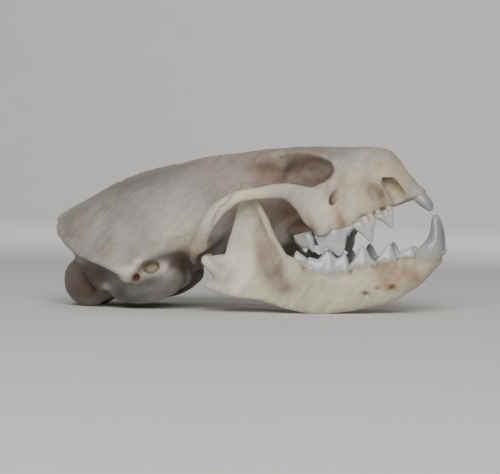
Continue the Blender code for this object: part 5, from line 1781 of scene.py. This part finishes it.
def model_tooth_row(crowns, cones, roots, spires, shelves, place, side, parts):
    """All the teeth of one side of a jaw, each its own body."""
    teeth = []
    for name, shape in crowns.items():
        forms = new_group(name)
        crown(shape, place, side, forms)
        for cusp in cones[name]:
            cone(cusp, shape[0], place, side, forms)
        add_all(root, roots[name], place, side, forms)
        if name == "molar":
            add_ovals(shelves, place, side, forms, SOCKET_RINGS)
        teeth.append(model_tooth(forms, parts))
    for name, rows in spires.items():
        forms = new_group(name)
        spire(rows, place, side, forms, *SPIRE_MESH)
        teeth.append(model_tooth(forms, parts))
    return teeth


def gather(name, items, collection):
    """Put several bodies into one object."""
    mesh = bmesh.new()
    for item in items:
        mesh.from_mesh(item.data)
        bpy.data.objects.remove(item, do_unlink=True)
    return add_object(name, mesh, collection)


def model_turbinates(parts):
    """Thin scrolls and the middle wall inside the nasal opening."""
    middle = (TURBINATE_FRONT + TURBINATE_REAR) / 2.0
    half_length = (TURBINATE_FRONT - TURBINATE_REAR) / 2.0
    columns, lines = TURBINATE_MESH
    sheets = []
    for out, half_height, depth in TURBINATES:
        for side in (-1, 1) if out else (1,):
            mesh = bmesh.new()
            bmesh.ops.create_grid(mesh, x_segments=columns, y_segments=lines, size=1.0)
            for vert in mesh.verts:
                across, rise, _ = vert.co
                ahead = middle + half_length * across - TURBINATE_BOW * rise * rise
                phase = TURBINATE_WAVES_UP * rise + TURBINATE_WAVES_ALONG * across + out
                sideways = side * (out + depth * sin(phase))
                vert.co = skull_place(ahead, sideways, TURBINATE_LEVEL + half_height * rise)
            bmesh.ops.solidify(mesh, geom=mesh.faces[:], thickness=TURBINATE_THICKNESS)
            face_outwards(mesh)
            sheets.append(add_object("scroll", mesh, parts))
    return gather("turbinates", sheets, parts)


def feed(tree, node, inputs):
    """Give a node's sockets their values, or another node's outputs."""
    for socket, value in inputs:
        if isinstance(value, bpy.types.NodeSocket):
            tree.links.new(value, node.inputs[socket])
        else:
            node.inputs[socket].default_value = value


def add_node(tree, kind, inputs=(), **settings):
    """Add a shader node; inputs pairs a socket with a value or another node's output."""
    node = tree.nodes.new(kind)
    for name, value in settings.items():
        setattr(node, name, value)
    feed(tree, node, inputs)
    return node


def new_finish(name):
    """Return a new material with its nodes and its surface shader."""
    material = bpy.data.materials.new(name)
    material.use_nodes = True
    return material, material.node_tree, material.node_tree.nodes["Principled BSDF"]


def in_millimetres(tree, stretch=(1.0, 1.0, 1.0)):
    """The place on the object, in millimetres, for patterns that are stretched along an axis."""
    place = add_node(tree, "ShaderNodeTexCoord").outputs["Object"]
    scale = tuple(MM_PER_METRE * share for share in stretch)
    mapping = add_node(tree, "ShaderNodeMapping", (("Vector", place), ("Scale", scale)))
    return mapping.outputs["Vector"]


def along_fibres(tree, slope, stretch):
    """The place in millimetres, stretched along lines that climb at a slope in the side view."""
    place = add_node(tree, "ShaderNodeTexCoord").outputs["Object"]
    scale = tuple(share / MM_PER_METRE for share in stretch)
    mapping = add_node(
        tree, "ShaderNodeMapping",
        (("Vector", place), ("Rotation", (0.0, -slope, 0.0)), ("Scale", scale)),
        vector_type="TEXTURE",
    )
    return mapping.outputs["Vector"]


def cloudy(tree, place, scale, detail, roughness, distortion=0.0):
    """Soft noise from 0 to 1."""
    node = add_node(
        tree, "ShaderNodeTexNoise",
        (("Vector", place), ("Scale", scale), ("Detail", detail), ("Roughness", roughness),
         ("Distortion", distortion)),
    )
    return node.outputs[0]


def between(tree, value, low, high, at_low, at_high):
    """A value that goes smoothly from at_low to at_high as another goes from low to high."""
    node = add_node(
        tree, "ShaderNodeMapRange",
        (("Value", value), ("From Min", low), ("From Max", high), ("To Min", at_low),
         ("To Max", at_high)),
        interpolation_type="SMOOTHSTEP",
    )
    return node.outputs["Result"]


def reckon(tree, operation, first, second):
    """The result of a sum, product or the like."""
    node = add_node(tree, "ShaderNodeMath", ((0, first), (1, second)), operation=operation)
    return node.outputs[0]


def blend_colour(tree, share, first, second, blend_type="MIX"):
    """Blend two colours; the node numbers its share 0, its colours 6 and 7, and its result 2."""
    node = add_node(
        tree, "ShaderNodeMix", ((0, share), (6, first), (7, second)),
        data_type="RGBA", blend_type=blend_type,
    )
    return node.outputs[2]


def shaded(tree, colour, shade):
    """A colour, darker or lighter by a factor."""
    grey = add_node(
        tree, "ShaderNodeCombineColor", (("Red", shade), ("Green", shade), ("Blue", shade))
    )
    return blend_colour(tree, 1.0, colour, grey.outputs["Color"], "MULTIPLY")


def bumpy(tree, height, distance, strength):
    """Surface directions that follow a pattern's height."""
    node = add_node(
        tree, "ShaderNodeBump",
        (("Height", height), ("Distance", distance), ("Strength", strength)),
    )
    return node.outputs["Normal"]


def bone_finish(name, finish):
    """Dry cleaned bone: painted tone, mottling, faint grain and pores, and a soft sheen."""
    material, tree, shader = new_finish(name)
    layouts = {
        "even": in_millimetres(tree),
        "lengthwise": in_millimetres(tree, LENGTHWISE),
        "sloping": along_fibres(tree, FIBRE_SLOPE, FIBRE_STRETCH),
    }
    patterns = {
        kind: cloudy(tree, layouts[layout], *numbers)
        for kind, (layout, *numbers) in BONE_PATTERNS.items()
    }
    blotch = patterns["blotch"]
    cells = add_node(
        tree, "ShaderNodeTexVoronoi",
        (("Vector", layouts["even"]), ("Scale", PIT_SCALE), ("Randomness", 1.0)),
    )
    patterns["pits"] = reckon(
        tree, "MULTIPLY", between(tree, cells.outputs["Distance"], *PIT_EDGES),
        between(tree, blotch, *PITTED_AREAS),
    )

    mottling = patterns["mottling"]
    darkest = 1.0 - finish.mottling
    lightest = 1.0 + finish.mottling * MOTTLING_LIGHTER
    shade = between(tree, mottling, *MOTTLING_RANGE, darkest, lightest)
    for kind, low, high, at_low, at_high in BONE_SHADES:
        factor = between(tree, patterns[kind], low, high, at_low, at_high)
        shade = reckon(tree, "MULTIPLY", shade, factor)
    colour = add_node(tree, "ShaderNodeAttribute", attribute_name="tone").outputs["Color"]
    for share, tint in (
        (between(tree, patterns["warmth"], *WARM_AREAS), finish.warm_tint),
        (between(tree, blotch, *STAINED_AREAS), finish.blotch_tint),
    ):
        colour = blend_colour(tree, share, colour, (*tint, 1.0), "MULTIPLY")
    roughness = [finish.roughness + change for change in BONE_GLOSS]

    relief = reckon(tree, "MULTIPLY", patterns["grain"], GRAIN_HEIGHT)
    for kind, height in BONE_HEIGHTS:
        relief = reckon(tree, "ADD", relief, reckon(tree, "MULTIPLY", patterns[kind], height))
    feed(tree, shader, (
        ("Base Color", shaded(tree, colour, shade)),
        ("Roughness", between(tree, mottling, *USUAL_RANGE, *roughness)),
        ("Normal", bumpy(tree, relief, finish.relief, BONE_BUMP)),
        *BONE_SHEEN,
    ))
    return material


def enamel_finish(name, finish):
    """Tooth enamel: cool and glossy, with a faint haze and fine upright lines."""
    material, tree, shader = new_finish(name)
    tone = add_node(tree, "ShaderNodeAttribute", attribute_name="tone").outputs["Color"]
    haze = cloudy(tree, in_millimetres(tree), *ENAMEL_HAZE)
    lines = cloudy(tree, in_millimetres(tree, UPRIGHT), *ENAMEL_LINES)
    shade = reckon(
        tree, "MULTIPLY", between(tree, haze, *USUAL_RANGE, *HAZE_SHADES),
        between(tree, lines, *USUAL_RANGE, *LINE_SHADES),
    )
    roughness = [finish.enamel_roughness + change for change in ENAMEL_GLOSS]
    feed(tree, shader, (
        ("Base Color", shaded(tree, tone, shade)),
        ("Roughness", between(tree, haze, *USUAL_RANGE, *roughness)),
        ("Normal", bumpy(tree, lines, finish.relief * ENAMEL_RELIEF, ENAMEL_BUMP)),
        *ENAMEL_SHEEN,
    ))
    return material


def stage_finish(name, colour):
    """Plain pale card, with a very faint unevenness."""
    material, tree, shader = new_finish(name)
    fleece = cloudy(tree, in_millimetres(tree), *CARD_FLEECE)
    share = between(tree, fleece, *USUAL_RANGE, 0.0, 1.0)
    darker = [value * CARD_DARKER for value in colour]
    paper = blend_colour(tree, share, (*colour, 1.0), (*darker, 1.0))
    feed(tree, shader, (("Base Color", paper), *CARD_SHEEN))
    return material


def get_finish(name, maker, *details):
    """A finish is made once, and shared by the pieces of one kind."""
    return bpy.data.materials.get(name) or maker(name, *details)


class BoneForm(bpy.types.PropertyGroup):
    fineness: FloatProperty(
        name="Fineness", description="Size of the detailed bone's mesh before it is thinned",
        default=0.00021, min=0.00012, max=0.001, precision=5, unit="LENGTH",
    )
    waviness: FloatProperty(
        name="Waviness", description="How far the bone's surface swells and dips",
        default=0.00004, min=0.0, max=0.0003, precision=5, unit="LENGTH",
    )
    smoothing: IntProperty(
        name="Smoothing", description="Smoothing steps after the openings are cut",
        default=7, min=0, max=40,
    )


class BoneFinish(bpy.types.PropertyGroup):
    mottling: FloatProperty(
        name="Mottling", description="How much the bone's tone varies", default=0.13, min=0.0,
        max=0.5, subtype="FACTOR",
    )
    roughness: FloatProperty(
        name="Bone roughness", description="Middle roughness of the bone", default=0.5, min=0.1,
        max=1.0, subtype="FACTOR",
    )
    enamel_roughness: FloatProperty(
        name="Enamel roughness", description="Middle roughness of the teeth", default=0.24,
        min=0.05, max=1.0, subtype="FACTOR",
    )
    relief: FloatProperty(
        name="Relief", description="Height of the finest grain", default=0.00007, min=0.0,
        max=0.001, precision=5, unit="LENGTH",
    )
    warm_tint: FloatVectorProperty(
        name="Warm tint", description="Colour laid over the older, warmer areas of bone",
        default=(0.99, 0.93, 0.84), size=3, min=0.0, max=1.0, subtype="COLOR",
    )
    blotch_tint: FloatVectorProperty(
        name="Blotch tint", description="Colour of the faint stains in the bone",
        default=(0.90, 0.82, 0.73), size=3, min=0.0, max=1.0, subtype="COLOR",
    )


class SkullStudio(bpy.types.PropertyGroup):
    card: FloatVectorProperty(
        name="Card colour", description="Colour of the floor and backdrop",
        default=(0.80, 0.79, 0.77), size=3, min=0.0, max=1.0, subtype="COLOR",
    )
    key_power: FloatProperty(
        name="Key light", description="Power of the large soft light beside the camera",
        default=9.0, min=0.0, max=100.0, unit="POWER",
    )
    top_power: FloatProperty(
        name="Top light", description="Power of the soft light overhead",
        default=0.7, min=0.0, max=100.0, unit="POWER",
    )
    wall_power: FloatProperty(
        name="Wall light", description="Power of the light that only the backdrop gets",
        default=7.0, min=0.0, max=100.0, unit="POWER",
    )
    fill: FloatProperty(
        name="Fill", description="Strength of the light from all round", default=0.08, min=0.0,
        max=5.0,
    )
    azimuth: FloatProperty(
        name="Camera azimuth", description="Camera direction, from the skull's right side",
        default=radians(8.0), subtype="ANGLE",
    )
    elevation: FloatProperty(
        name="Camera elevation", description="Camera height above the horizontal",
        default=radians(1.5), subtype="ANGLE",
    )
    roll: FloatProperty(
        name="Camera roll", description="Turn of the picture", default=radians(1.0),
        subtype="ANGLE",
    )
    distance: FloatProperty(
        name="Camera distance", description="From the camera to the middle of the skull",
        default=0.380, min=0.1, max=5.0, unit="LENGTH",
    )


class MINK_OT_cranium(bpy.types.Operator):
    """Build the skull's bone in one skin, with its holes, crests and sutures"""

    bl_idname = "mink_skull.cranium"
    bl_label = "Cranium"

    def execute(self, context):
        cranium, parts = model_cranium(context.scene.mink_form)
        bone = get_finish("bone", bone_finish, context.scene.mink_finish)
        finish_piece(
            cranium, "cranium",
            ("braincase", "snout", "zygomatic_arch_left", "zygomatic_arch_right",
             "auditory_bulla_left", "auditory_bulla_right"),
            bone,
        )
        drop_collection(parts)
        return {"FINISHED"}


class MINK_OT_mandibles(bpy.types.Operator):
    """Build the two halves of the lower jaw"""

    bl_idname = "mink_skull.mandibles"
    bl_label = "Lower jaw"

    def execute(self, context):
        bone = get_finish("bone", bone_finish, context.scene.mink_finish)
        for word, side in SIDE_WORDS:
            jaw, parts = model_jaw(side, context.scene.mink_form)
            finish_piece(jaw, f"jaw_half_{word}", (f"mandible_{word}",), bone)
            drop_collection(parts)
        return {"FINISHED"}


def set_teeth(context, jaw, patches, to_local, row_on):
    """Make one piece of each side's teeth in one jaw; row_on models a side's row."""
    enamel = get_finish("enamel", enamel_finish, context.scene.mink_finish)
    parts = new_group(f"{jaw}_tooth_parts")
    for word, side in SIDE_WORDS:
        name = f"{jaw}_teeth_{word}"
        row = gather(name, row_on(side, parts), parts)
        paint(row, ENAMEL_TONE, patches, to_local, TOOTH_CREVICES)
        finish_piece(row, name, (), enamel)
    drop_collection(parts)


def upper_row(side, parts):
    crowns = {
        name: shape for name, shape in UPPER_CROWNS.items() if side < 0 or name not in LOST_LEFT
    }
    return model_tooth_row(
        crowns, UPPER_CONES, UPPER_ROOTS, UPPER_SPIRES, MOLAR_TABLE, skull_place, side, parts
    )


def lower_row(side, parts):
    return model_tooth_row(
        LOWER_CROWNS, LOWER_CONES, LOWER_ROOTS, LOWER_SPIRES, (), jaw_place_on(side), side, parts
    )


class MINK_OT_upper_teeth(bpy.types.Operator):
    """Set the upper teeth, less the ones that this skull has lost"""

    bl_idname = "mink_skull.upper_teeth"
    bl_label = "Upper teeth"

    def execute(self, context):
        set_teeth(context, "upper", UPPER_TOOTH_PATCHES, skull_points, upper_row)
        return {"FINISHED"}


class MINK_OT_lower_teeth(bpy.types.Operator):
    """Set the lower teeth"""

    bl_idname = "mink_skull.lower_teeth"
    bl_label = "Lower teeth"

    def execute(self, context):
        set_teeth(context, "lower", LOWER_TOOTH_PATCHES, jaw_points, lower_row)
        return {"FINISHED"}


class MINK_OT_turbinates(bpy.types.Operator):
    """Build the thin scrolls that show inside the nasal opening"""

    bl_idname = "mink_skull.turbinates"
    bl_label = "Turbinates"

    def execute(self, context):
        parts = new_group("turbinate_parts")
        scrolls = model_turbinates(parts)
        paint(scrolls, TAN_TONE, (), skull_points, TURBINATE_CREVICES)
        bone = get_finish("bone", bone_finish, context.scene.mink_finish)
        finish_piece(scrolls, "turbinates", (), bone)
        drop_collection(parts)
        return {"FINISHED"}


def aim(item, target, back, across):
    """Turn a light or the camera so that it looks at a target, with a given right-hand side."""
    right = square_to(back, across)
    above = back.cross(right)
    turn = Matrix((right, above, back)).transposed().to_4x4()
    item.matrix_world = Matrix.Translation(target) @ turn


def direction(azimuth, elevation):
    return Vector(
        (sin(azimuth) * cos(elevation), -cos(azimuth) * cos(elevation), sin(elevation))
    )


class MINK_OT_studio(bpy.types.Operator):
    """Lay the floor and backdrop, and set the lights and the camera"""

    bl_idname = "mink_skull.studio"
    bl_label = "Studio"

    def execute(self, context):
        studio = context.scene.mink_studio
        scene = context.scene
        mesh = bmesh.new()
        columns, lines = CARD_MESH
        bmesh.ops.create_grid(mesh, x_segments=columns, y_segments=lines, size=1.0)
        for vert in mesh.verts:
            vert.co = card_point(vert.co.x, vert.co.y)
        bmesh.ops.recalc_face_normals(mesh, faces=mesh.faces)
        card = add_object("card", mesh, scene.collection)
        card.data.materials.append(get_finish("card", stage_finish, studio.card))
        card.data.shade_smooth()
        card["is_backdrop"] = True

        key = direction(KEY_AZIMUTH, KEY_ELEVATION)
        top = direction(TOP_AZIMUTH, TOP_ELEVATION)
        wall = direction(0.0, WALL_LIGHT_TILT)
        for name, back, place, size, power in (
            ("key", key, LOOK_AT + key * KEY_AWAY, KEY_SIZE, studio.key_power),
            ("top", top, LOOK_AT + top * TOP_AWAY, TOP_SIZE, studio.top_power),
            ("wall", wall, WALL_LIGHT_PLACE, WALL_LIGHT_SIZE, studio.wall_power),
        ):
            data = bpy.data.lights.new(name, "AREA")
            data.shape = "DISK"
            data.size = size
            data.energy = power
            data.color = LIGHT_COLOUR
            light = bpy.data.objects.new(name, data)
            scene.collection.objects.link(light)
            aim(light, place, back, Vector((1.0, 0.0, 0.0)))
        world = bpy.data.worlds.new("studio")
        world.use_nodes = True
        sky = world.node_tree.nodes["Background"]
        sky.inputs["Color"].default_value = (*FILL_COLOUR, 1.0)
        sky.inputs["Strength"].default_value = studio.fill
        scene.world = world

        data = bpy.data.cameras.new("camera")
        data.sensor_width = SENSOR_WIDTH
        data.lens = SENSOR_WIDTH * studio.distance * PIXELS_PER_METRE / PICTURE_WIDTH
        data.clip_start = NEAR_CLIP
        data.clip_end = FAR_CLIP
        camera = bpy.data.objects.new("camera", data)
        scene.collection.objects.link(camera)
        back = direction(studio.azimuth, studio.elevation)
        right = Vector((cos(studio.azimuth), sin(studio.azimuth), 0.0))
        above = back.cross(right)
        across = right * cos(studio.roll) + above * sin(studio.roll)
        aim(camera, LOOK_AT + back * studio.distance, back, across)
        scene.camera = camera
        return {"FINISHED"}


def card_point(across, along):
    """The card lies flat under the skull, bends up far behind it and stands as the backdrop."""
    run = CARD_FRONT + (along + 1.0) / 2.0 * CARD_LENGTH
    bend = CARD_BEND * pi / 2.0
    if run < CARD_BACK:
        return Vector((across * CARD_HALF_WIDTH, run, 0.0))
    if run < CARD_BACK + bend:
        angle = (run - CARD_BACK) / CARD_BEND
        return Vector(
            (across * CARD_HALF_WIDTH, CARD_BACK + CARD_BEND * sin(angle),
             CARD_BEND * (1.0 - cos(angle)))
        )
    return Vector(
        (across * CARD_HALF_WIDTH, CARD_BACK + CARD_BEND, CARD_BEND + run - CARD_BACK - bend)
    )


STEPS = (
    MINK_OT_cranium,
    MINK_OT_mandibles,
    MINK_OT_upper_teeth,
    MINK_OT_lower_teeth,
    MINK_OT_turbinates,
    MINK_OT_studio,
)


class MINK_PT_skull(bpy.types.Panel):
    """Sizes, finishes and building steps of the mink skull"""

    bl_idname = "MINK_PT_skull"
    bl_label = "Mink skull"
    bl_space_type = "VIEW_3D"
    bl_region_type = "UI"
    bl_category = "Mink skull"

    def draw(self, context):
        layout = self.layout
        for label, group in (
            ("Form", context.scene.mink_form),
            ("Finish", context.scene.mink_finish),
            ("Studio", context.scene.mink_studio),
        ):
            box = layout.box()
            box.label(text=label)
            for name in group.bl_rna.properties.keys():
                if name not in ("rna_type", "name"):
                    box.prop(group, name)
        column = layout.column(align=True)
        for step in STEPS:
            column.operator(step.bl_idname)


GROUPS = (BoneForm, BoneFinish, SkullStudio)


def register():
    for item in (*GROUPS, *STEPS, MINK_PT_skull):
        bpy.utils.register_class(item)
    bpy.types.Scene.mink_form = PointerProperty(type=BoneForm)
    bpy.types.Scene.mink_finish = PointerProperty(type=BoneFinish)
    bpy.types.Scene.mink_studio = PointerProperty(type=SkullStudio)


def unregister():
    del bpy.types.Scene.mink_studio
    del bpy.types.Scene.mink_finish
    del bpy.types.Scene.mink_form
    for item in reversed((*GROUPS, *STEPS, MINK_PT_skull)):
        bpy.utils.unregister_class(item)


def main():
    register()
    bpy.ops.mink_skull.cranium()
    bpy.ops.mink_skull.mandibles()
    bpy.ops.mink_skull.upper_teeth()
    bpy.ops.mink_skull.lower_teeth()
    bpy.ops.mink_skull.turbinates()
    bpy.ops.mink_skull.studio()
    boxes = {"cad": CAD_BOX, "visual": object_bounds()}
    numbers = {name: [list(corner) for corner in box] for name, box in boxes.items()}


if __name__ == "__main__":
    main()
